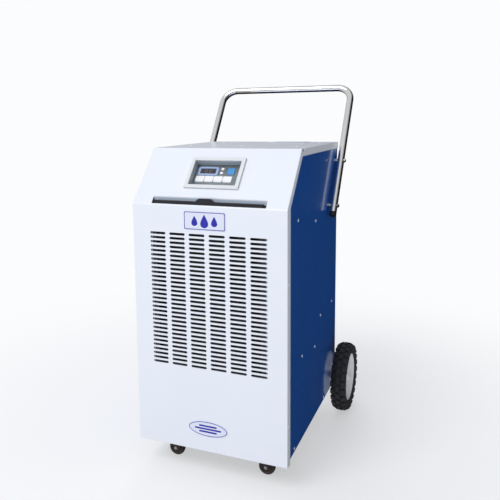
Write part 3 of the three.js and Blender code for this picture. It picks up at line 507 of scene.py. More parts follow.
def new_piece(name, mesh, finish):
    piece = bpy.data.objects.new(name, mesh)
    bpy.context.scene.collection.objects.link(piece)
    mesh.materials.clear()
    mesh.materials.append(FINISHES[finish])
    return piece


def smoothed(piece, angle=35, rounding=0.0, segments=3):
    """Rounds sharp edges, then shades the flats flat and the curves smooth."""
    if rounding:
        bevel = piece.modifiers.new("Rounding", "BEVEL")
        bevel.width = rounding
        bevel.segments = segments
        bevel.limit_method = "ANGLE"
        bevel.angle_limit = math.radians(angle)
        evaluated(piece)
    piece.data.shade_smooth()
    piece.data.set_sharp_from_angle(angle=math.radians(angle))
    weigh = piece.modifiers.new("Weighting", "WEIGHTED_NORMAL")
    weigh.keep_sharp = True
    return evaluated(piece)


def place(piece, body, slot, *nodes):
    """Puts a finished piece on its body, in the place of its CAD nodes; slot is not used."""
    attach(piece, body)
    if nodes:
        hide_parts(*nodes)
    return piece


def softened(node, rounding, segments=2, angle=30):
    """A CAD node's shape with its doubles merged and its edges rounded."""
    bm = bmesh.new()
    bm.from_mesh(frame["nodes"][node].data)
    bmesh.ops.remove_doubles(bm, verts=bm.verts, dist=0.01 * MM)
    bmesh.ops.dissolve_limit(bm, angle_limit=math.radians(1), verts=bm.verts, edges=bm.edges)
    slot = next(s["material_slot"] for s in frame["record"]["subparts"] if s["node"] == node)
    piece = new_piece(node + "_shape", mesh_from(bm, node), slot)
    smoothed(piece, angle, rounding, segments)
    body = next(b for b, nodes in frame["record"]["behaviour"]["bodies"].items() if node in nodes)
    return place(piece, body, slot, node)


def rounded_outline(width, height, corner, steps=6):
    """Points of a rectangle with round corners, anticlockwise, about the origin."""
    points = []
    for quarter, (sx, sy) in enumerate(((1, 1), (-1, 1), (-1, -1), (1, -1))):
        centre = Vector((sx * (width / 2 - corner), sy * (height / 2 - corner)))
        for step in range(steps + 1):
            angle = (quarter + step / steps) * math.pi / 2
            points.append(centre + corner * Vector((math.cos(angle), math.sin(angle))))
    return points


def ellipse_outline(width, height, steps=72):
    return [Vector((width / 2 * math.cos(a), height / 2 * math.sin(a)))
            for a in (2 * math.pi * k / steps for k in range(steps))]


def prism(bm, outline, low, high, matrix, dome=0.0, edge=0.0):
    """An outline raised from low to high, with a rounded upper edge, placed by a matrix."""
    base = [bm.verts.new((p.x, p.y, low)) for p in outline]
    middle = sum(outline, Vector((0, 0))) / len(outline)
    rings = [base]
    steps = 4 if edge else 0
    for step in range(steps + 1):
        turn = math.pi / 2 * (step / steps if steps else 0)
        inset = edge * (1 - math.cos(turn))
        rise = high - edge * (1 - math.sin(turn))
        ring = []
        for p in outline:
            out = (p - middle).normalized()
            ring.append(bm.verts.new((p.x - inset * out.x, p.y - inset * out.y, rise)))
        rings.append(ring)
    count = len(outline)
    for lower, upper in zip(rings, rings[1:]):
        for k in range(count):
            bm.faces.new((lower[k], lower[(k + 1) % count], upper[(k + 1) % count], upper[k]))
    bm.faces.new(list(reversed(base)))
    if dome:
        crown = bm.verts.new((middle.x, middle.y, high + dome))
        for k in range(count):
            bm.faces.new((rings[-1][k], rings[-1][(k + 1) % count], crown))
    else:
        bm.faces.new(rings[-1])
    bmesh.ops.transform(bm, matrix=matrix, verts=[v for ring in rings for v in ring]
                        + ([crown] if dome else []))


def lathe(bm, profile, axis, centre, steps=64):
    """Turns (radius, along) points about an axis; a profile ends on the axis or closes."""
    rings = []
    for radius, along in profile:
        if radius < 1e-7:
            rings.append([bm.verts.new((0, 0, along))])
            continue
        rings.append([bm.verts.new((radius * math.cos(a), radius * math.sin(a), along))
                      for a in (2 * math.pi * k / steps for k in range(steps))])
    if profile[0][0] > 1e-7:
        rings.append(rings[0])
    for lower, upper in zip(rings, rings[1:]):
        for k in range(steps):
            ring_face(bm, lower, upper, k, steps)
    made = [v for ring in rings for v in ring]
    turn = {"z": Matrix(), "x": Matrix.Rotation(math.pi / 2, 4, "Y"),
            "y": Matrix.Rotation(-math.pi / 2, 4, "X")}[axis]
    verts = list(dict.fromkeys(made))
    bmesh.ops.transform(bm, matrix=Matrix.Translation(centre) @ turn, verts=verts)
    bmesh.ops.recalc_face_normals(bm, faces=list({f for v in verts for f in v.link_faces}))


def domed(radius, base, top, steps=8):
    """Profile points of a dome, from just inside its rim to its crown on the axis."""
    turns = [step / steps * math.pi / 2 for step in range(1, steps)]
    rise = top - base
    return [(radius * math.cos(t), base + rise * math.sin(t)) for t in turns] + [(0, top)]


def ring_face(bm, lower, upper, k, steps):
    """One face between two rings, either of which may be a single point."""
    after = (k + 1) % steps
    if len(lower) == 1:
        bm.faces.new((lower[0], upper[after], upper[k]))
    elif len(upper) == 1:
        bm.faces.new((lower[k], lower[after], upper[0]))
    else:
        bm.faces.new((lower[k], lower[after], upper[after], upper[k]))


def bent_path(corners, radius, steps):
    """Straight runs joined by round bends, as (point, tangent) stations."""
    stations = [(corners[0], (corners[1] - corners[0]).normalized())]
    for before, corner, after in zip(corners, corners[1:], corners[2:]):
        come, go = (corner - before).normalized(), (after - corner).normalized()
        turn = come.angle(go)
        inward, along = (go - come).normalized(), (come + go).normalized()
        centre = corner + inward * radius / math.cos(turn / 2)
        for step in range(steps + 1):
            angle = (step / steps - 0.5) * turn
            point = centre - inward * radius * math.cos(angle) + along * radius * math.sin(angle)
            stations.append((point, along * math.cos(angle) + inward * math.sin(angle)))
    stations.append((corners[-1], (corners[-1] - corners[-2]).normalized()))
    return stations


def swept(bm, stations, radius, bore=0.0, sides=40):
    """A round tube or bar along stations, closed at both ends."""
    side = stations[0][1].orthogonal().normalized()
    outer, inner = [], []
    for point, tangent in stations:
        side = (side - tangent * side.dot(tangent)).normalized()
        other = tangent.cross(side)
        round_it = [side * math.cos(a) + other * math.sin(a)
                    for a in (2 * math.pi * k / sides for k in range(sides))]
        outer.append([bm.verts.new(point + d * radius) for d in round_it])
        if bore:
            inner.append([bm.verts.new(point + d * bore) for d in round_it])
    loops = outer + list(reversed(inner)) if bore else outer
    pairs = list(zip(loops, loops[1:] + loops[:1])) if bore else list(zip(loops, loops[1:]))
    for lower, upper in pairs:
        for k in range(sides):
            ring_face(bm, lower, upper, k, sides)
    if not bore:
        bm.faces.new(list(reversed(outer[0])))
        bm.faces.new(outer[-1])
    bmesh.ops.recalc_face_normals(bm, faces=bm.faces)


def piece_of(name, finish, build, rounding=0.0, angle=35, segments=3):
    """A piece whose mesh the function build fills in."""
    bm = bmesh.new()
    build(bm)
    return smoothed(new_piece(name, mesh_from(bm, name), finish), angle, rounding, segments)


def pierced(piece, build):
    """Cuts what build makes out of a piece."""
    bm = bmesh.new()
    build(bm)
    bmesh.ops.recalc_face_normals(bm, faces=bm.faces)
    cutter = bpy.data.objects.new("cutter", mesh_from(bm, "cutter"))
    bpy.context.scene.collection.objects.link(cutter)
    cut = piece.modifiers.new("Cut", "BOOLEAN")
    cut.solver = "EXACT"
    cut.operation = "DIFFERENCE"
    cut.object = cutter
    evaluated(piece)
    bpy.data.objects.remove(cutter)
    return piece


# ------------------------------------------------------------------ geometry node trees


def start_tree(name, sizes):
    """A modifier tree with a geometry input, named sizes and a material."""
    tree = bpy.data.node_groups.new(name, "GeometryNodeTree")
    tree.is_modifier = True
    tree.interface.new_socket("Geometry", in_out="INPUT", socket_type="NodeSocketGeometry")
    for label, kind in sizes:
        tree.interface.new_socket(label, in_out="INPUT", socket_type="NodeSocket" + kind)
    tree.interface.new_socket("Material", in_out="INPUT", socket_type="NodeSocketMaterial")
    tree.interface.new_socket("Geometry", in_out="OUTPUT", socket_type="NodeSocketGeometry")
    graph = Graph(tree)
    given = graph.node("NodeGroupInput")
    return graph, given


def end_tree(graph, given, geometry):
    real = graph.node("GeometryNodeRealizeInstances", inputs={"Geometry": geometry})
    done = graph.node("GeometryNodeSetMaterial", inputs={
        "Geometry": real, "Material": given.output("Material")})
    graph.node("NodeGroupOutput", inputs={"Geometry": done})
    return graph.tree


def grown(piece, tree, values, finish):
    """Runs a tree on a piece, with its inputs set by identifier, and keeps the mesh."""
    modifier = piece.modifiers.new(tree.name, "NODES")
    modifier.node_group = tree
    named = {item.name: item.identifier for item in tree.interface.items_tree
             if item.in_out == "INPUT"}
    for label, value in values.items():
        modifier[named[label]] = value
    modifier[named["Material"]] = FINISHES[finish]
    return evaluated(piece)


def rounded_block(graph, width, height, corner, depth):
    """A closed prism with round corners: width x, height y, from z 0 up to its depth."""
    outline = graph.node("GeometryNodeCurvePrimitiveQuadrilateral",
                         inputs={"Width": width, "Height": height})
    filleted = graph.node("GeometryNodeFilletCurve", {"mode": "POLY"}, {
        "Curve": outline, "Radius": corner, "Count": 5})
    face = graph.node("GeometryNodeFillCurve", inputs={"Curve": filleted})
    upward = graph.node("ShaderNodeCombineXYZ", inputs={"Z": depth})
    raised = graph.node("GeometryNodeExtrudeMesh", inputs={
        "Mesh": face, "Offset": upward, "Individual": False})
    under = graph.node("GeometryNodeFlipFaces", inputs={"Mesh": face})
    both = graph.node("GeometryNodeJoinGeometry", inputs={"Geometry": [raised, under]})
    return graph.node("GeometryNodeMergeByDistance", inputs={
        "Geometry": both, "Distance": 0.005 * MM})


TREES = {}
NEARLY_HALF = 0.499  # the largest corner that still leaves a slot's ends an edge


def tree_of(build):
    """Each tree is built once."""
    if build.__name__ not in TREES:
        TREES[build.__name__] = build()
    return TREES[build.__name__]


def slot_grid_tree():
    """Cuts a grid of round-ended slots through an upright sheet that faces -Y."""
    graph, given = start_tree("Slot Grid", (
        ("Columns", "Int"), ("Rows", "Int"), ("Column Pitch", "Float"), ("Row Pitch", "Float"),
        ("Slot Length", "Float"), ("Slot Height", "Float"), ("Depth", "Float"),
        ("Centre", "Vector")))
    wide = (given.output("Columns") - 1) * given.output("Column Pitch")
    tall = (given.output("Rows") - 1) * given.output("Row Pitch")
    grid = graph.node("GeometryNodeMeshGrid", inputs={
        "Size X": wide, "Size Y": tall,
        "Vertices X": given.output("Columns"), "Vertices Y": given.output("Rows")})
    slot = rounded_block(graph, given.output("Slot Length"), given.output("Slot Height"),
                         given.output("Slot Height") * NEARLY_HALF, given.output("Depth"))
    slots = graph.node("GeometryNodeInstanceOnPoints", inputs={"Points": grid, "Instance": slot})
    upright = graph.node("GeometryNodeTransform", inputs={
        "Geometry": slots, "Translation": given.output("Centre"),
        "Rotation": (math.pi / 2, 0, 0)})
    solid = graph.node("GeometryNodeRealizeInstances", inputs={"Geometry": upright})
    cut = graph.node("GeometryNodeMeshBoolean", {"operation": "DIFFERENCE", "solver": "EXACT"},
                     {"Mesh 1": given.output("Geometry"), "Mesh 2": solid})
    return end_tree(graph, given, cut)


def bars_tree():
    """Adds equal bars, each along Run, from Start on by one Step each."""
    graph, given = start_tree("Row Of Bars", (
        ("Count", "Int"), ("Start", "Vector"), ("Step", "Vector"), ("Run", "Vector"),
        ("Width", "Float"), ("Height", "Float"), ("Corner", "Float")))
    line = graph.node("GeometryNodeMeshLine", inputs={
        "Count": given.output("Count"), "Start Location": given.output("Start"),
        "Offset": given.output("Step")})
    spine = graph.node("GeometryNodeCurvePrimitiveLine", inputs={"End": given.output("Run")})
    outline = graph.node("GeometryNodeCurvePrimitiveQuadrilateral", inputs={
        "Width": given.output("Width"), "Height": given.output("Height")})
    profile = graph.node("GeometryNodeFilletCurve", inputs={
        "Curve": outline, "Radius": given.output("Corner")})
    bar = graph.node("GeometryNodeCurveToMesh", inputs={
        "Curve": spine, "Profile Curve": profile, "Fill Caps": True})
    bars = graph.node("GeometryNodeInstanceOnPoints", inputs={"Points": line, "Instance": bar})
    both = graph.node("GeometryNodeJoinGeometry", inputs={
        "Geometry": [given.output("Geometry"), bars]})
    return end_tree(graph, given, both)


def screws_tree():
    """Stands a cross-recessed screw head with a washer on every vertex, along its facing."""
    graph, given = start_tree("Screws", (("Radius", "Float"),))
    radius = given.output("Radius")
    long, narrow, flat, washer_reach = 1.1, 0.24, 0.5, 1.35  # shares of the radius
    ball = graph.node("GeometryNodeMeshUVSphere", inputs={
        "Segments": 18, "Rings": 10, "Radius": radius})
    dome = graph.node("GeometryNodeTransform", inputs={"Geometry": ball, "Scale": (1, 1, flat)})
    recesses = []
    for across, along in ((narrow, long), (long, narrow)):
        sizes = {"X": radius * across, "Z": radius * flat, "Y": radius * along}
        block = graph.node("GeometryNodeMeshCube", inputs={
            "Size": graph.node("ShaderNodeCombineXYZ", inputs=sizes)})
        recesses.append(graph.node("GeometryNodeTransform", inputs={
            "Geometry": block,
            "Translation": graph.node("ShaderNodeCombineXYZ", inputs={"Z": radius * flat})}))
    head = graph.node("GeometryNodeMeshBoolean", {"operation": "DIFFERENCE", "solver": "EXACT"},
                      {"Mesh 1": dome, "Mesh 2": recesses})
    washer = graph.node("GeometryNodeMeshCylinder", inputs={
        "Vertices": 20, "Radius": radius * washer_reach, "Depth": radius * narrow})
    screw = graph.node("GeometryNodeJoinGeometry", inputs={"Geometry": [head, washer]})
    facing = graph.node("GeometryNodeInputNamedAttribute", {"data_type": "FLOAT_VECTOR"},
                        {"Name": "facing"})
    turned = graph.node("FunctionNodeAlignRotationToVector", {"axis": "Z"}, {"Vector": facing})
    screws = graph.node("GeometryNodeInstanceOnPoints", inputs={
        "Points": given.output("Geometry"), "Instance": screw, "Rotation": turned})
    return end_tree(graph, given, screws)


def tread_tree():
    """Adds a ring of tread blocks about the X axis, turned on by Phase."""
    graph, given = start_tree("Tread Blocks", (
        ("Count", "Int"), ("Radius", "Float"), ("Across", "Float"), ("Around", "Float"),
        ("Corner", "Float"), ("Depth", "Float"), ("Tilt", "Float"), ("Offset", "Float"),
        ("Phase", "Float"), ("Centre", "Vector")))
    circle = graph.node("GeometryNodeMeshCircle", inputs={
        "Vertices": given.output("Count"), "Radius": given.output("Radius")})
    upright = graph.node("GeometryNodeTransform", inputs={
        "Geometry": circle, "Rotation": (0, math.pi / 2, 0)})
    block = rounded_block(graph, given.output("Across"), given.output("Around"),
                          given.output("Corner"), given.output("Depth"))
    lean = graph.node("ShaderNodeCombineXYZ", inputs={"Y": given.output("Tilt")})
    leaned = graph.node("GeometryNodeTransform", inputs={"Geometry": block, "Rotation": lean})
    outward = graph.node("FunctionNodeAlignRotationToVector",
                         {"axis": "Z", "pivot_axis": "X"},
                         {"Vector": graph.node("GeometryNodeInputPosition")})
    blocks = graph.node("GeometryNodeInstanceOnPoints", inputs={
        "Points": upright, "Instance": leaned, "Rotation": outward})
    turn = graph.node("ShaderNodeCombineXYZ", inputs={"X": given.output("Phase")})
    phased = graph.node("GeometryNodeTransform", inputs={"Geometry": blocks, "Rotation": turn})
    shift = graph.node("ShaderNodeCombineXYZ", inputs={"X": given.output("Offset")})
    moved = graph.node("GeometryNodeTransform", inputs={"Geometry": phased, "Translation": shift})
    placed = graph.node("GeometryNodeTransform", inputs={
        "Geometry": moved, "Translation": given.output("Centre")})
    both = graph.node("GeometryNodeJoinGeometry", inputs={
        "Geometry": [given.output("Geometry"), placed]})
    return end_tree(graph, given, both)


def hole_ring_tree():
    """Cuts a ring of round holes, along the X axis, through a piece."""
    graph, given = start_tree("Ring Of Holes", (
        ("Count", "Int"), ("Ring", "Float"), ("Radius", "Float"), ("Centre", "Vector")))
    circle = graph.node("GeometryNodeMeshCircle", inputs={
        "Vertices": given.output("Count"), "Radius": given.output("Ring")})
    right_through = 200 * MM
    hole = graph.node("GeometryNodeMeshCylinder", inputs={
        "Vertices": 32, "Radius": given.output("Radius"), "Depth": right_through})
    holes = graph.node("GeometryNodeInstanceOnPoints", inputs={
        "Points": circle, "Instance": hole})
    placed = graph.node("GeometryNodeTransform", inputs={
        "Geometry": holes, "Rotation": (0, math.pi / 2, 0),
        "Translation": given.output("Centre")})
    solid = graph.node("GeometryNodeRealizeInstances", inputs={"Geometry": placed})
    cut = graph.node("GeometryNodeMeshBoolean", {"operation": "DIFFERENCE", "solver": "EXACT"},
                     {"Mesh 1": given.output("Geometry"), "Mesh 2": solid})
    return end_tree(graph, given, cut)


def empty_piece(name):
    """A piece without a mesh, for a tree to fill."""
    piece = bpy.data.objects.new(name, bpy.data.meshes.new(name))
    bpy.context.scene.collection.objects.link(piece)
    return piece


def screws(name, spots, radius, body):
    """One mesh of screws for one body; spots are (place, facing)."""
    mesh = bpy.data.meshes.new(name)
    mesh.from_pydata([tuple(spot) for spot, _ in spots], [], [])
    facing = mesh.attributes.new("facing", "FLOAT_VECTOR", "POINT")
    for item, (_, direction) in zip(facing.data, spots):
        item.vector = direction
    piece = bpy.data.objects.new(name, mesh)
    bpy.context.scene.collection.objects.link(piece)
    grown(piece, tree_of(screws_tree), {"Radius": radius}, "screw")
    return place(smoothed(piece), body, "chrome")


# ------------------------------------------------------------------ casing


def folded_front(bm):
    """Outer faces of the folded front sheet, with its folds rounded."""
    casing = settings().casing
    lower, edge = casing.front_flange, casing.slant_flange
    outer = [(FRONT, PANEL_BOTTOM), (FRONT, CREASE), (FRONT + SLANT_DEPTH, TOP)]
    inner = [(FRONT + lower, PANEL_BOTTOM), crease_point(lower, edge),
             slant_point(SLANT_LENGTH, edge)]
    rows = {}
    for side in (-1, 1):
        x = side * HALF_WIDTH
        rows[side] = ([bm.verts.new((x, y, z)) for y, z in outer],
                      [bm.verts.new((x, y, z)) for y, z in inner])
    (left, left_in), (right, right_in) = rows[-1], rows[1]
    folds = []
    for k in (0, 1):
        bm.faces.new((left[k], right[k], right[k + 1], left[k + 1]))
        bm.faces.new((right[k], right_in[k], right_in[k + 1], right[k + 1]))
        bm.faces.new((left_in[k], left[k], left[k + 1], left_in[k + 1]))
        folds += [(left[k], left[k + 1]), (right[k], right[k + 1])]
    bm.faces.new((left_in[0], right_in[0], right[0], left[0]))
    folds += [(left[0], right[0]), (left[1], right[1])]
    folds = [bm.edges.get(pair) for pair in folds]
    bmesh.ops.recalc_face_normals(bm, faces=bm.faces)
    bmesh.ops.bevel(bm, geom=folds, offset=casing.fold, segments=5, profile=0.5,
                    affect="EDGES", clamp_overlap=True)


class DEHUM_OT_front_panel(bpy.types.Operator):
    """Folds the white front panel and cuts its slots and openings"""

    bl_idname = "dehumidifier.front_panel"
    bl_label = "Front Panel"

    def execute(self, context):
        casing = settings().casing
        bm = bmesh.new()
        folded_front(bm)
        panel = new_piece("front_panel_sheet", mesh_from(bm, "front_panel"), "white_paint")
        wall = panel.modifiers.new("Wall", "SOLIDIFY")
        wall.thickness = casing.sheet
        wall.offset = -1
        wall.use_even_offset = True
        evaluated(panel)
        middle = CREASE - casing.top_row - (casing.slot_rows - 1) * casing.row_pitch / 2
        cut = 20 * MM
        grown(panel, tree_of(slot_grid_tree), {
            "Columns": casing.slot_columns, "Rows": casing.slot_rows,
            "Column Pitch": casing.column_pitch, "Row Pitch": casing.row_pitch,
            "Slot Length": casing.slot_length, "Slot Height": casing.slot_height,
            "Depth": cut, "Centre": (0, FRONT + cut / 2, middle)}, "white_paint")
        pierced(panel, self.openings)
        smoothed(panel, 28)
        place(panel, CABINET, "white_paint", "front_panel")
        self.slot_fold(casing.sheet)
        return {"FINISHED"}

    @staticmethod
    def slot_fold(sheet):
        """The rear edge of the filter's slot, folded down behind the grip bar."""
        low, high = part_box("filter_frame")
        top = CREASE + SLOT_REAR * SLANT_RISE / SLANT_DEPTH
        depth, wide = 14 * MM, high.x - low.x + 4 * GAP
        stand = Matrix.Translation((0, FRONT + SLOT_REAR + sheet, top - depth / 2 - MM))
        # Its finish is white paint darkened as painted shade.
        fold = piece_of("slot_fold", "fold_painted_shade", lambda bm: prism(
            bm, rounded_outline(wide, depth, 0.3 * MM, 2), 0, sheet - 0.1 * MM,
            stand @ UPRIGHT))
        place(fold, CABINET, "white_paint")

    @staticmethod
    def openings(bm):
        """The filter's slot at the crease and the hole for the control unit."""
        low, high = slant_box("control_plate")
        above, below = 10 * MM, 30 * MM
        hole = rounded_outline(high.x - low.x + 2 * GAP, high.y - low.y + 2 * GAP, 2 * MM)
        prism(bm, hole, -below, above, SLANT @ over_middle(low, high))
        low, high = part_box("filter_frame")
        front, rear = low.y - GAP, FRONT + SLOT_REAR
        slot = rounded_outline(high.x - low.x + 4 * GAP, rear - front, 1.5 * MM)
        prism(bm, slot, CREASE - above / 2, CREASE + below,
              Matrix.Translation((0, (front + rear) / 2, 0)))


class DEHUM_OT_covers(bpy.types.Operator):
    """Makes the top cover, the two blue sides, the rear panel and the base pan"""

    bl_idname = "dehumidifier.covers"
    bl_label = "Covers and Base"

    def execute(self, context):
        edge = settings().casing.edge
        softened("top_cover", 0.9 * MM, 4)
        for node in ("side_panel_left", "side_panel_right", "rear_panel", "base_pan"):
            softened(node, edge, 3)
        across, back, wide, deep = 85 * MM, 585 * MM, 130 * MM, 96 * MM
        stand = Matrix.Translation((across, FRONT + back, TOP))
        label = piece_of("top_plate", "badge", lambda bm: prism(
            bm, rounded_outline(wide, deep, 3 * MM), 0.02 * MM, 0.8 * MM, stand,
            edge=0.3 * MM))
        place(label, CABINET, "badge")
        return {"FINISHED"}


class DEHUM_OT_outlet(bpy.types.Operator):
    """Makes the rear outlet grille, the drain spout and the cable gland"""

    bl_idname = "dehumidifier.outlet"
    bl_label = "Outlet and Fittings"

    def execute(self, context):
        low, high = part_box("outlet_grille")
        border, bar = 12 * MM, 8 * MM
        count = settings().casing.grille_bars
        wide, depth, tall = high - low
        stand = facing_front(low, high)

        def ring(bm):
            prism(bm, rounded_outline(wide, tall, 6 * MM), 0, depth, stand)

        def hole(bm):
            prism(bm, rounded_outline(wide - 2 * border, tall - 2 * border, 4 * MM),
                  -depth, 2 * depth, stand)

        grille = pierced(piece_of("outlet_grille_bars", "black_plastic", ring), hole)
        step = (tall - 2 * border) / (count + 1)
        grown(grille, tree_of(bars_tree), {
            "Count": count, "Start": (low.x + border - MM, (low.y + high.y) / 2,
                                      low.z + border + step),
            "Step": (0.0, 0.0, step), "Run": (wide - 2 * border + 2 * MM, 0.0, 0.0),
            "Width": depth, "Height": bar, "Corner": 1.2 * MM}, "black_plastic")
        place(smoothed(grille, 30), CABINET, "black_plastic", "outlet_grille")
        for node, ridges in (("drain_spout", 3), ("cable_gland", 0)):
            self.fitting(node, ridges)
        return {"FINISHED"}

    @staticmethod
    def fitting(node, ridges):
        """A round fitting: shank, flange and a barbed or plain nose."""
        low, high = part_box(node)
        centre = ((low.x + high.x) / 2, 0, (low.z + high.z) / 2)
        radius, bore, flange, neck = 8 * MM, 5 * MM, 14 * MM, 4 * MM
        seat, nose = REAR - 2 * MM, REAR + 3 * MM
        profile = [(bore, low.y), (radius, low.y), (radius, seat), (flange, seat),
                   (flange, nose - MM), (flange - MM, nose), (radius - MM, nose)]
        reach = high.y - nose - neck
        for k in range(ridges):
            start = nose + neck + reach * k / ridges
            profile += [(radius - MM, start), (radius + MM, start + 0.3 * MM),
                        (radius - MM, start + reach / ridges)]
        profile += [(radius - 1.5 * MM, high.y - 0.5 * MM), (bore, high.y)]
        piece = piece_of(node + "_turned", "black_plastic",
                         lambda bm: lathe(bm, profile, "y", centre, 48))
        place(piece, CABINET, "black_plastic", node)


class DEHUM_OT_screws(bpy.types.Operator):
    """Puts the sheet screws into the panels"""

    bl_idname = "dehumidifier.screws"
    bl_label = "Sheet Screws"

    # Back from the front face and up from the floor, on each side panel.
    SIDE_SPOTS = ((116, 811), (324, 776), (571, 433), (400, 431), (324, 345), (164, 372),
                  (454, 106), (81, 106))
    FLANGE_SPOTS = ((8, 642), (8, 212))
    # Across from the middle and back from the front face, on the top cover.
    TOP_SPOTS = ((-190, 300), (0, 300), (190, 300), (-190, 600), (0, 600), (190, 600))

    def execute(self, context):
        radius = settings().casing.screw_radius
        side_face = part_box("side_panel_right")[1].x
        spots = []
        for _, side in SIDES:
            for face, places in ((side_face, self.SIDE_SPOTS), (HALF_WIDTH, self.FLANGE_SPOTS)):
                spots += [(Vector((side * face, FRONT + back * MM, up * MM)), (side, 0, 0))
                          for back, up in places]
        spots += [(Vector((across * MM, FRONT + back * MM, TOP)), (0, 0, 1))
                  for across, back in self.TOP_SPOTS]
        low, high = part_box("rear_panel")
        inset = 14 * MM
        for across in (-1, 0, 1):
            for k in (0, 3) if across == 0 else range(4):
                up = low.z + inset + k * (high.z - low.z - 3 * inset) / 3
                spots.append((Vector((across * (high.x - inset), high.y, up)), (0, 1, 0)))
        screws("sheet_screws", spots, radius, CABINET)
        low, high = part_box("outlet_grille")
        inset = 6 * MM
        corners = [(Vector((x, high.y, z)), (0, 1, 0))
                   for x in (low.x + inset, high.x - inset)
                   for z in (low.z + inset, high.z - inset)]
        screws("grille_screws", corners, radius * 0.7, CABINET)
        return {"FINISHED"}


class DEHUM_OT_badges(bpy.types.Operator):
    """Makes the two plain plates on the front, with abstract marks"""

    bl_idname = "dehumidifier.badges"
    bl_label = "Badges"

    def execute(self, context):
        self.badge("upper_badge", lambda w, h: rounded_outline(w, h, 4 * MM), self.drops)
        self.badge("lower_badge", ellipse_outline, self.ribbon)
        return {"FINISHED"}

    @staticmethod
    def badge(node, outline, mark):
        """A plate with a painted border line and a mark."""
        low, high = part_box(node)
        wide, depth, tall = high - low
        face = facing_front(low, high)
        margin, line_width = 2 * MM, 2 * MM
        inner = margin + 2 * line_width
        plate = piece_of(node + "_plate", "badge", lambda bm: prism(
            bm, outline(wide, tall), 0, depth - 0.2 * MM, face, edge=0.3 * MM))
        place(plate, CABINET, "badge", node)

        def line(bm):
            prism(bm, outline(wide - margin, tall - margin), 0, depth - 0.05 * MM, face)

        def within(bm):
            prism(bm, outline(wide - inner, tall - inner), -depth, 2 * depth, face)

        border = pierced(piece_of(node + "_border", "badge_mark", line), within)
        place(smoothed(border), CABINET, "badge")
        drawn = piece_of(node + "_mark", "badge_mark",
                         lambda bm: mark(bm, wide, tall, depth, face))
        place(drawn, CABINET, "badge")

    @staticmethod
    def drops(bm, wide, tall, depth, face):
        """Three water drops, the largest in the middle."""
        steps = 40
        for across, size in ((-0.24, 0.32), (0, 0.42), (0.24, 0.32)):
            outline = []
            reach = tall * size
            for k in range(steps):
                a = 2 * math.pi * k / steps
                narrow = math.sin(a / 2) ** 1.6
                outline.append(Vector((reach * narrow * math.sin(a) * 0.8 + across * wide,
                                       reach * math.cos(a) * 0.9)))
            prism(bm, list(reversed(outline)), 0, depth, face)

    @staticmethod
    def ribbon(bm, wide, tall, depth, face):
        """Three level bars, the middle one longest."""
        for level, share in ((0.19, 0.46), (0, 0.68), (-0.19, 0.46)):
            bar = rounded_outline(wide * share, tall * 0.11, tall * 0.05)
            prism(bm, [p + Vector((0, level * tall)) for p in bar], 0, depth, face)


# ------------------------------------------------------------------ filter


class DEHUM_OT_filter(bpy.types.Operator):
    """Makes the air filter: frame, woven wires, dark grip bar and its guides"""

    bl_idname = "dehumidifier.filter"
    bl_label = "Air Filter"

    def execute(self, context):
        shell = softened("filter_frame", 0.6 * MM, 2)
        shell.data.materials[0] = FINISHES["black_plastic"]
        for name, _ in SIDES:
            softened("filter_guide_" + name, 0.4 * MM, 2)
        self.mesh()
        grip = piece_of("filter_grip_bar", "black_plastic", self.grip_outline, 0.7 * MM, 50, 3)
        place(grip, "filter", "black_plastic", "filter_grip")
        return {"FINISHED"}

    @staticmethod
    def mesh():
        """Upright wires with level ones laid over them."""
        sizes = settings().filter
        low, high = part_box("filter_mesh")
        middle = (low.y + high.y) / 2
        wires = empty_piece("filter_wires")
        wire, pitch = sizes.wire, sizes.wire_pitch
        across = int((high.x - low.x) / pitch)
        down = int((high.z - low.z) / pitch)
        rows = (
            (across, (low.x + pitch / 2, middle - wire * 0.45, low.z), (pitch, 0.0, 0.0),
             (0.0, 0.0, high.z - low.z)),
            (down, (low.x, middle + wire * 0.45, low.z + pitch / 2), (0.0, 0.0, pitch),
             (high.x - low.x, 0.0, 0.0)),
        )
        for count, start, step, run in rows:
            grown(wires, tree_of(bars_tree), {
                "Count": count, "Start": start, "Step": step, "Run": run,
                "Width": wire, "Height": wire, "Corner": 0.0}, "filter_mesh")
        place(smoothed(wires), "filter", "filter_mesh", "filter_mesh")

    @staticmethod
    def grip_outline(bm):
        """A long low bar with a two-lobed finger grip standing on it."""
        sizes = settings().filter
        low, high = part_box("filter_grip")
        lift = high.z - low.z - sizes.bar_height
        spread = sizes.grip_width / 4.6

        def height(x):
            lobes = (math.exp(-(((x - sizes.grip_offset - side * sizes.lobe) / spread) ** 4))
                     for side in (-1, 1))
            return sizes.bar_height + lift * min(1.0, sum(lobes))

        steps = 150
        wide = high.x - low.x
        top = [(low.x + wide * k / steps) for k in range(steps + 1)]
        ring = [Vector((low.x, low.z))] + [Vector((high.x, low.z))]
        ring += [Vector((x, low.z + height(x))) for x in reversed(top)]
        front = [bm.verts.new((p.x, low.y, p.y)) for p in ring]
        back = [bm.verts.new((p.x, high.y, p.y)) for p in ring]
        count = len(ring)
        for k in range(count):
            after = (k + 1) % count
            bm.faces.new((front[k], front[after], back[after], back[k]))
        bm.faces.new(front)
        bm.faces.new(list(reversed(back)))
        bmesh.ops.recalc_face_normals(bm, faces=bm.faces)


# ------------------------------------------------------------------ control unit


def on_slant(node, build, finish, body):
    """A piece made over a node's footprint on the slanted face, in the node's place."""
    low, high = slant_box(node)
    piece = piece_of(node + "_cap", finish, lambda bm: build(
        bm, high.x - low.x, high.y - low.y, low.z, high.z, SLANT @ over_middle(low, high)))
    return place(piece, body, finish, node)


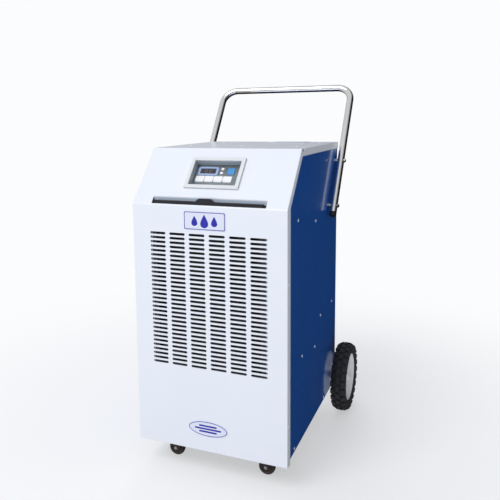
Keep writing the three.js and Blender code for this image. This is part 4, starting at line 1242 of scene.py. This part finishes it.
class DEHUM_OT_controls(bpy.types.Operator):
    """Makes the control unit: bezel, plate, display, buttons and keys"""

    bl_idname = "dehumidifier.controls"
    bl_label = "Control Unit"

    def execute(self, context):
        sizes = settings().control
        bezel = softened("control_bezel", sizes.bezel_edge, 4)
        bezel.data.materials[0] = FINISHES["bezel"]
        softened("control_plate", 0.3 * MM, 2)
        softened("control_board", 0.2 * MM, 1)
        self.display(sizes)
        for number in range(1, 5):
            node = f"mode_key_{number}"
            on_slant(node, self.key, "key_white", node)
        for node in ("up_button", "down_button"):
            on_slant(node, self.button, "key_white", node)
        on_slant("power_button", self.button, "key_blue", "power_button")
        self.surround()
        return {"FINISHED"}

    @staticmethod
    def key(bm, wide, tall, low, high, matrix):
        """A stem under a wider cap with a level top edge and a lower edge that bows down."""
        sizes = settings().control
        cap = high - sizes.cap
        prism(bm, rounded_outline(wide, tall, 2 * MM, 4), low, cap, matrix)
        wide += 2.4 * MM
        outline = []
        for p in rounded_outline(wide, tall * 0.88, sizes.key_corner, 6):
            bow = (1 - (2 * p.x / wide) ** 2) * tall * 0.12 if p.y < 0 else 0
            outline.append(Vector((p.x, p.y + tall * 0.06 - bow)))
        prism(bm, outline, cap - 0.01 * MM, high - 0.3 * MM, matrix, dome=0.3 * MM,
              edge=0.5 * MM)

    @staticmethod
    def button(bm, wide, tall, low, high, matrix):
        """A button with a rounded edge and a slightly domed top."""
        corner = settings().control.button_corner
        outline = rounded_outline(wide, tall, corner, 6)
        prism(bm, outline, low, high - 0.3 * MM, matrix, dome=0.3 * MM, edge=0.6 * MM)

    @staticmethod
    def display(sizes):
        """The printed surround, the window in it and the figures on the window."""
        low, high = slant_box("display_frame")
        inner_low, inner_high = slant_box("display_window")
        middle = SLANT @ over_middle(low, high)
        inner = (inner_high.x - inner_low.x, inner_high.y - inner_low.y)
        outer = rounded_outline(high.x - low.x, high.y - low.y, sizes.frame_corner)
        surround = piece_of("display_frame_ring", "display_blue", lambda bm: prism(
            bm, outer, low.z, high.z, middle, edge=0.8 * MM))
        pierced(surround, lambda bm: prism(
            bm, rounded_outline(inner[0] + 2 * GAP, inner[1] + 2 * GAP, sizes.window_corner),
            low.z - MM, high.z + MM, middle))
        place(smoothed(surround), CABINET, "display_blue", "display_frame")
        window = piece_of("display_window_glass", "display_glass", lambda bm: prism(
            bm, rounded_outline(*inner, sizes.window_corner), inner_low.z, inner_high.z,
            middle, edge=0.2 * MM))
        place(window, CABINET, "display_glass", "display_window")
        figures = piece_of("display_figures", "figure", lambda bm: seven_segments(
            bm, sizes.digit_height, inner_high.z, middle))
        place(figures, CABINET, "display_glass")

    @staticmethod
    def surround():
        """A thin printed square of lighter blue around the blue button."""
        low, high = slant_box("power_button")
        plate = slant_box("control_plate")[1].z
        centre = SLANT @ over_middle(low, high)
        wide, tall = high.x - low.x, high.y - low.y

        def square(bm):
            prism(bm, rounded_outline(wide + 5 * MM, tall + 5 * MM, 2.5 * MM),
                  plate + 0.02 * MM, plate + 0.3 * MM, centre)

        def hole(bm):
            prism(bm, rounded_outline(wide + MM, tall + MM, 1.8 * MM),
                  plate - MM, plate + 2 * MM, centre)

        ring = pierced(piece_of("button_surround", "display_blue", square), hole)
        place(smoothed(ring), CABINET, "display_blue")


def seven_segments(bm, tall, level, matrix):
    """Two figures of seven bars each, just proud of the window."""
    wide, bar = tall * 0.55, tall * 0.12
    spots = [(0, side * tall / 2, True) for side in (-1, 0, 1)]
    spots += [(across * wide / 2, up * tall / 4, False) for across in (-1, 1) for up in (-1, 1)]
    for figure in (-0.6, 0.6):
        for x, y, flat in spots:
            size = (wide * 0.78, bar) if flat else (bar, tall * 0.38)
            outline = [p + Vector((x + figure * tall, y))
                       for p in rounded_outline(*size, bar * 0.4, 3)]
            prism(bm, outline, level - 0.1 * MM, level + 0.05 * MM, matrix)


# ------------------------------------------------------------------ handle


class DEHUM_OT_handle(bpy.types.Operator):
    """Bends the handle tube and makes its plugs and dome-headed bolts"""

    bl_idname = "dehumidifier.handle"
    bl_label = "Handle"

    def execute(self, context):
        sizes = settings().handle
        low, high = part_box("handle_tube")
        lean, radius = sizes.lean, sizes.radius
        bar = Vector((0, high.y - radius, high.z - radius))
        along = Vector((0, math.sin(lean), math.cos(lean)))
        end = low.z + radius * math.sin(lean)
        run = (bar.z - end) / along.z
        x = high.x - radius
        foot = bar - along * run
        corners = [foot + Vector((-x, 0, 0)), bar + Vector((-x, 0, 0)),
                   bar + Vector((x, 0, 0)), foot + Vector((x, 0, 0))]
        stations = bent_path(corners, sizes.bend, 24)
        tube = piece_of("handle_tube_bent", "chrome",
                        lambda bm: swept(bm, stations, radius, radius - 1.6 * MM, 56))
        place(tube, CABINET, "chrome", "handle_tube")
        for name, side in SIDES:
            self.plug("handle_plug_" + name, foot + Vector((side * x, 0, 0)), -along, radius)
            for level in ("upper", "lower"):
                self.bolt(f"handle_bolt_{level}_{name}", side, x, radius)
        return {"FINISHED"}

    @staticmethod
    def plug(node, end, outward, radius):
        """A black ferrule that ends in a soft dome."""
        lip, dome, plugged, inside = 17 * MM, 4 * MM, 12 * MM, radius - 2.4 * MM
        profile = [(0, -plugged), (inside, -plugged), (inside, 0.3 * MM),
                   (radius, 0.3 * MM), (radius, lip - dome), *domed(radius, lip - dome, lip)]

        def build(bm):
            lathe(bm, profile, "z", (0, 0, 0), 48)
            turn = Vector((0, 0, 1)).rotation_difference(outward).to_matrix().to_4x4()
            bmesh.ops.transform(bm, matrix=Matrix.Translation(end) @ turn, verts=bm.verts)

        place(piece_of(node + "_cap", "black_plastic", build), CABINET, "black_plastic", node)

    @staticmethod
    def bolt(node, side, x, radius):
        """Shank, standoff collar and domed nut, turned about X."""
        low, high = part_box(node)
        centre = (0, (low.y + high.y) / 2, (low.z + high.z) / 2)
        inner = min(abs(low.x), abs(high.x))
        outer = max(abs(low.x), abs(high.x))
        shank, collar, dome = 4 * MM, 7 * MM, 7.5 * MM
        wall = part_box("side_panel_right")[1].x + GAP
        tube, head = x - radius - GAP, x + radius + GAP
        brim = head + 1.2 * MM
        profile = [(0, inner), (shank, inner), (shank, wall), (collar, wall), (collar, tube),
                   (shank, tube), (shank, head), (dome, head), (dome, brim),
                   *domed(dome * 0.86, brim, outer)]
        flipped = [(r, side * a) for r, a in profile]
        piece = piece_of(node + "_turned", "chrome",
                         lambda bm: lathe(bm, flipped, "x", centre, 40))
        place(piece, CABINET, "chrome", node)


# ------------------------------------------------------------------ wheels and casters


class DEHUM_OT_wheels(bpy.types.Operator):
    """Makes the two rear wheels with their treaded tyres, and the axle"""

    bl_idname = "dehumidifier.wheels"
    bl_label = "Rear Wheels"

    def execute(self, context):
        for name, side in SIDES:
            low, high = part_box("tyre_" + name)
            centre = (low + high) / 2
            half = (high.x - low.x) / 2
            radius = (high.z - low.z) / 2
            self.tyre(name, centre, half, radius)
            self.rim(name, side, centre, half)
            self.cap(name, side, centre)
        softened("axle", 0.5 * MM, 2, 40)
        return {"FINISHED"}

    @staticmethod
    def tyre(name, centre, half, radius):
        """A round-shouldered carcass under three staggered rings of blocks."""
        sizes = settings().wheel
        inner = sizes.rim_radius + GAP
        floor = radius - sizes.block_depth
        bead = [(inner + 4 * MM, half - 2 * MM), (inner + 10 * MM, half - 0.4 * MM),
                (radius - 21 * MM, half - 0.4 * MM), (radius - 15 * MM, half - 3.5 * MM),
                (radius - 11 * MM, half - 9 * MM), (floor - 1.4 * MM, half - 16 * MM),
                (floor, half - 22 * MM)]
        profile = [(inner, -half + 3.5 * MM), (inner, half - 3.5 * MM)]
        profile += bead + [(r, -a) for r, a in reversed(bead)]
        piece = piece_of(f"tyre_{name}_treaded", "rubber",
                         lambda bm: lathe(bm, profile, "x", centre, 96))
        step = 2 * math.pi / sizes.blocks
        edge = half - 12 * MM
        shoulder = radius - 13 * MM
        rows = ((-edge, 0.0, 17 * MM, -0.5, shoulder),
                (0.0, step / 2, 12 * MM, 0.0, floor - 2 * MM),
                (edge, 0.0, 17 * MM, 0.5, shoulder))
        for offset, phase, across, tilt, base in rows:
            grown(piece, tree_of(tread_tree), {
                "Count": sizes.blocks, "Radius": base, "Across": across, "Around": 20 * MM,
                "Corner": 1.5 * MM, "Depth": radius - 0.5 * MM - base - 6 * MM * abs(tilt),
                "Tilt": tilt, "Offset": offset, "Phase": phase,
                "Centre": tuple(centre)}, "rubber")
        place(smoothed(piece, 40), "wheel_" + name, "rubber", "tyre_" + name)

    @staticmethod
    def rim(name, side, centre, half):
        """A dished disc with a rolled edge, a raised hub and a ring of windows."""
        sizes = settings().wheel
        edge, wall = sizes.rim_radius, 3 * MM
        half_rim, bore = half - 7 * MM, 8.4 * MM
        profile = [
            (edge, half_rim), (edge, -half_rim), (edge - wall, -half_rim),
            (edge - wall, half_rim - 11 * MM), (edge - 8 * MM, 6 * MM), (edge - 18 * MM, 2 * MM),
            (46 * MM, 1 * MM), (34 * MM, 0), (18 * MM, 0), (13 * MM, -4 * MM),
            (13 * MM, -26 * MM), (bore, -26 * MM), (bore, 20 * MM), (13 * MM, 20 * MM),
            (14 * MM, 12 * MM), (16 * MM, 8 * MM), (34 * MM, 4 * MM), (46 * MM, 5 * MM),
            (56 * MM, 8 * MM), (edge - 22 * MM, 9 * MM), (edge - 14 * MM, 11 * MM),
            (edge - 7 * MM, half_rim - 8 * MM), (edge - wall, half_rim - 2 * MM),
            (edge - wall, half_rim - 0.6 * MM), (edge - 1.5 * MM, half_rim + 0.4 * MM)]
        flipped = [(r, side * a) for r, a in profile]
        piece = piece_of(f"wheel_rim_{name}_disc", "rim_silver",
                         lambda bm: lathe(bm, flipped, "x", centre, 96))
        grown(piece, tree_of(hole_ring_tree), {
            "Count": sizes.windows, "Ring": sizes.window_ring, "Radius": sizes.window_radius,
            "Centre": tuple(centre)}, "rim_silver")
        place(smoothed(piece, 32), "wheel_" + name, "rim_silver", "wheel_rim_" + name)

    @staticmethod
    def cap(name, side, centre):
        """A domed hub cap."""
        node = "hub_cap_" + name
        low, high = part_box(node)
        inner = min(abs(low.x), abs(high.x)) - abs(centre.x)
        outer = max(abs(low.x), abs(high.x)) - abs(centre.x)
        radius = (high.z - low.z) / 2
        brim = inner + MM
        profile = [(0, inner), (radius, inner), (radius, brim),
                   *domed(radius * 0.92, brim, outer, 10)]
        flipped = [(r, side * a) for r, a in profile]
        piece = piece_of(node + "_dome", "rim_silver",
                         lambda bm: lathe(bm, flipped, "x", centre, 48))
        place(piece, "wheel_" + name, "chrome", node)


class DEHUM_OT_casters(bpy.types.Operator):
    """Makes the two front swivel casters"""

    bl_idname = "dehumidifier.casters"
    bl_label = "Front Casters"

    def execute(self, context):
        for name, _ in SIDES:
            softened("caster_plate_" + name, 0.7 * MM, 3)
            softened("caster_fork_" + name, 0.9 * MM, 3)
            self.wheel(name)
            self.pin(name)
            self.bolts(name)
        return {"FINISHED"}

    @staticmethod
    def wheel(name):
        """A moulded wheel with a dished web and a round tread."""
        low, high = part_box("caster_wheel_" + name)
        centre, half = (low + high) / 2, (high.y - low.y) / 2
        radius, bore, tread, steps = (high.z - low.z) / 2, 3 * MM + GAP, 4 * MM, 8
        web = [(bore, half), (8 * MM, half), (9 * MM, half - 2.5 * MM),
               (16 * MM, half - 3 * MM), (18 * MM, half - 0.6 * MM), (20 * MM, half)]
        turns = [step / steps * math.pi for step in range(steps + 1)]
        profile = web + [(radius - tread + tread * math.sin(t), half * math.cos(t) * 0.96)
                         for t in turns] + [(r, -a) for r, a in reversed(web)]
        piece = piece_of(f"caster_wheel_{name}_turned", "caster_brown",
                         lambda bm: lathe(bm, profile, "y", centre, 56))
        place(piece, "caster_roller_" + name, "caster_brown", "caster_wheel_" + name)

    @staticmethod
    def pin(name):
        """A headed pin across the fork."""
        low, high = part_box("caster_pin_" + name)
        centre, half = (low + high) / 2, (high.y - low.y) / 2
        shank, head, seat = 3 * MM, 5.5 * MM, 2.6 * MM - half
        profile = [(0, -half), (head * 0.7, -half), (head, -half + 1.2 * MM), (head, seat),
                   (shank, seat), (shank, half - MM), (shank - 0.6 * MM, half), (0, half)]
        piece = piece_of(f"caster_pin_{name}_turned", "galvanised",
                         lambda bm: lathe(bm, profile, "y", centre, 32))
        place(piece, "caster_swivel_" + name, "galvanised", "caster_pin_" + name)

    @staticmethod
    def bolts(name):
        """Four bolt heads under the plate's corners."""
        low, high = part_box("caster_plate_" + name)
        inset, plate = 8 * MM, 3 * MM
        level = high.z - plate
        spots = [(Vector((x, y, level)), (0, 0, -1))
                 for x in (low.x + inset, high.x - inset) for y in (low.y + inset, high.y - inset)]
        screws("caster_bolts_" + name, spots, 4 * MM, CABINET)


# ------------------------------------------------------------------ inside


class DEHUM_OT_inside(bpy.types.Operator):
    """Makes what the outlet and the slots let one glimpse: coils, fan, motor and compressor"""

    bl_idname = "dehumidifier.inside"
    bl_label = "Inside"

    def execute(self, context):
        for node in ("evaporator_coil", "condenser_coil"):
            self.coil(node)
        for node in ("drain_pan", "partition_shelf", "fan_shroud", "electrical_box"):
            softened(node, 0.5 * MM, 2, 40)
        for node, rounding in (("fan", 0.8), ("fan_motor", 1.5), ("compressor", 4),
                               ("suction_pipe", 0.5)):
            softened(node, rounding * MM, 3, 50 if node != "fan" else 35)
        return {"FINISHED"}

    @staticmethod
    def coil(node):
        """Thin fins between two end plates, on rows of tubes."""
        low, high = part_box(node)
        proud, plate, fin, pitch = 6 * MM, 2 * MM, 0.5 * MM, 4 * MM
        tubes, tube_radius = 10, 4.5 * MM
        block = empty_piece(node + "_fins")
        wide, depth, tall = high - low
        middle = (low + high) / 2
        rows = (
            (int((wide - 2 * plate) / pitch), low.x + plate + pitch / 2, pitch, fin,
             depth - 2 * proud),
            (2, low.x, wide - plate, plate, depth),
        )
        for count, start, step, thick, deep in rows:
            grown(block, tree_of(bars_tree), {
                "Count": count, "Start": (start, middle.y, middle.z),
                "Step": (step, 0.0, 0.0), "Run": (thick, 0.0, 0.0),
                "Width": deep, "Height": tall, "Corner": 0.0}, "coil_metal")
        bm = bmesh.new()
        bm.from_mesh(block.data)
        for row in (-1, 1):
            for k in range(tubes):
                z = low.z + tall * (k + 0.5) / tubes
                y = middle.y + row * depth / 6
                ends = [Vector((low.x + plate, y, z)), Vector((high.x - plate, y, z))]
                rod = bmesh.new()
                swept(rod, [(p, Vector((1, 0, 0))) for p in ends], tube_radius, 0, 12)
                part = mesh_from(rod, "tube")
                bm.from_mesh(part)
                bpy.data.meshes.remove(part)
        bm.to_mesh(block.data)
        bm.free()
        place(smoothed(block), CABINET, "coil_metal", node)


# ------------------------------------------------------------------ stage


class DEHUM_OT_stage(bpy.types.Operator):
    """Sets the pale floor, the soft light and the camera"""

    bl_idname = "dehumidifier.stage"
    bl_label = "Stage"

    # Name, place, aim, size, power, colour, seen in reflections
    LIGHTS = (
        ("key", (-1.9, -4.9, 6.2), (0, 0, 0.6), 3.6, 270, (1.0, 0.99, 0.97), True),
        ("side_fill", (4.2, 0.8, 2.4), (0, 0, 0.5), 3.0, 4, (0.80, 0.90, 1.0), False),
        ("rear_fill", (-1.2, 4.2, 3.6), (0, 0, 0.6), 3.2, 80, (0.93, 0.96, 1.0), False),
    )

    def execute(self, context):
        scene = context.scene
        scene.view_settings.view_transform = "Standard"
        self.floor()
        self.world(scene)
        for name, spot, aim, size, power, tint, seen in self.LIGHTS:
            lamp = bpy.data.lights.new(name, "AREA")
            lamp.size, lamp.energy, lamp.color = size, power, tint
            holder = bpy.data.objects.new(name, lamp)
            holder.location = spot
            toward = Vector(aim) - Vector(spot)
            holder.rotation_euler = toward.to_track_quat("-Z", "Y").to_euler()
            holder.visible_glossy = seen
            scene.collection.objects.link(holder)
        self.camera(scene)
        return {"FINISHED"}

    @staticmethod
    def floor():
        """A pale matt floor that fades into the backdrop away from the machine."""
        half_size, fade_start, fade_end = 14.0, 0.5, 2.0
        bm = bmesh.new()
        bmesh.ops.create_grid(bm, x_segments=1, y_segments=1, size=half_size)
        mesh = mesh_from(bm, "floor")
        material, graph, shader, spot = start_material("floor", roughness=0.85)
        shade = graph.mix(noise(graph, spot, 1.2), (0.86, 0.865, 0.88, 1), (0.88, 0.885, 0.90, 1))
        link(graph, shader, "Base Color", shade)
        away = graph.node("ShaderNodeVectorMath", {"operation": "LENGTH"}, {0: spot},
                          output="Value")
        fade = graph.node("ShaderNodeMapRange", {"interpolation_type": "SMOOTHSTEP"}, {
            "Value": away, "From Min": fade_start, "From Max": fade_end, "To Min": 0.5})
        glow = graph.node("ShaderNodeEmission", inputs={
            "Color": opaque(settings().stage.backdrop), "Strength": 1.0})
        blend = graph.node("ShaderNodeMixShader", inputs={
            0: fade, 1: Signal(graph, shader.outputs[0]), 2: glow})
        surface = next(n for n in graph.tree.nodes if n.type == "OUTPUT_MATERIAL")
        graph.tree.links.new(blend.socket, surface.inputs["Surface"])
        mesh.materials.append(material)
        ground = bpy.data.objects.new("floor", mesh)
        ground.visible_glossy = False
        bpy.context.scene.collection.objects.link(ground)

    @staticmethod
    def world(scene):
        """A plain pale backdrop, with a room that is light at the left and dim at the right."""
        world = bpy.data.worlds.new("room")
        scene.world = world
        world.use_nodes = True
        world.node_tree.nodes.clear()
        graph = Graph(world.node_tree)
        direction = graph.node("ShaderNodeTexCoord", output="Generated")
        parts = graph.node("ShaderNodeSeparateXYZ", inputs={"Vector": direction})
        leftward = parts.output("X") * -0.62 + parts.output("Y") * -0.42 + parts.output("Z") * 0.66
        lit = graph.node("ShaderNodeValToRGB", {"stops": ((0.40, 0.0), (0.70, 1.0))},
                         {"Fac": leftward * 0.5 + 0.5})
        room = graph.mix(lit, (0.010, 0.014, 0.022, 1), (0.62, 0.65, 0.70, 1))
        room = graph.mix(lit * (1 - lit) * 1.4, room, (0.42, 0.33, 0.25, 1))
        seen = graph.node("ShaderNodeLightPath", output="Is Camera Ray")
        shade = graph.mix(seen, room, opaque(settings().stage.backdrop))
        glow = graph.node("ShaderNodeBackground", inputs={"Color": shade, "Strength": 1.0})
        graph.node("ShaderNodeOutputWorld", inputs={"Surface": glow})

    @staticmethod
    def camera(scene):
        """The camera, tipped, turned and rolled as set."""
        stage = settings().stage
        camera = bpy.data.cameras.new("camera")
        camera.lens, camera.sensor_width = stage.lens, 36
        camera.shift_x, camera.shift_y = stage.shift
        holder = bpy.data.objects.new("camera", camera)
        turn = (Matrix.Rotation(stage.yaw, 4, "Z")
                @ Matrix.Rotation(math.pi / 2 - stage.pitch, 4, "X")
                @ Matrix.Rotation(stage.roll, 4, "Z"))
        holder.matrix_world = Matrix.Translation(stage.camera) @ turn
        scene.collection.objects.link(holder)
        scene.camera = holder


# ------------------------------------------------------------------ add-on

OPERATORS = (
    DEHUM_OT_stage, DEHUM_OT_front_panel, DEHUM_OT_covers, DEHUM_OT_outlet, DEHUM_OT_screws,
    DEHUM_OT_badges, DEHUM_OT_filter, DEHUM_OT_controls, DEHUM_OT_handle, DEHUM_OT_wheels,
    DEHUM_OT_casters, DEHUM_OT_inside,
)


class DEHUM_PT_build(bpy.types.Panel):
    """Lists the pieces that can be built"""

    bl_label = "Dehumidifier"
    bl_idname = "DEHUM_PT_build"
    bl_space_type = "VIEW_3D"
    bl_region_type = "UI"
    bl_category = "Dehumidifier"

    def draw(self, context):
        for operator in OPERATORS:
            self.layout.operator(operator.bl_idname)


CLASSES = (
    CasingSettings, FilterSettings, ControlSettings, HandleSettings, WheelSettings,
    FinishSettings, StageSettings, DehumidifierSettings, *OPERATORS, DEHUM_PT_build,
)


def register():
    for item in CLASSES:
        bpy.utils.register_class(item)
    bpy.types.Scene.dehumidifier = PointerProperty(type=DehumidifierSettings)


def unregister():
    del bpy.types.Scene.dehumidifier
    for item in reversed(CLASSES):
        bpy.utils.unregister_class(item)


def main():
    register()
    make_finishes()
    for operator in OPERATORS:
        getattr(bpy.ops.dehumidifier, operator.bl_idname.split(".")[1])()


if __name__ == "__main__":
    main()
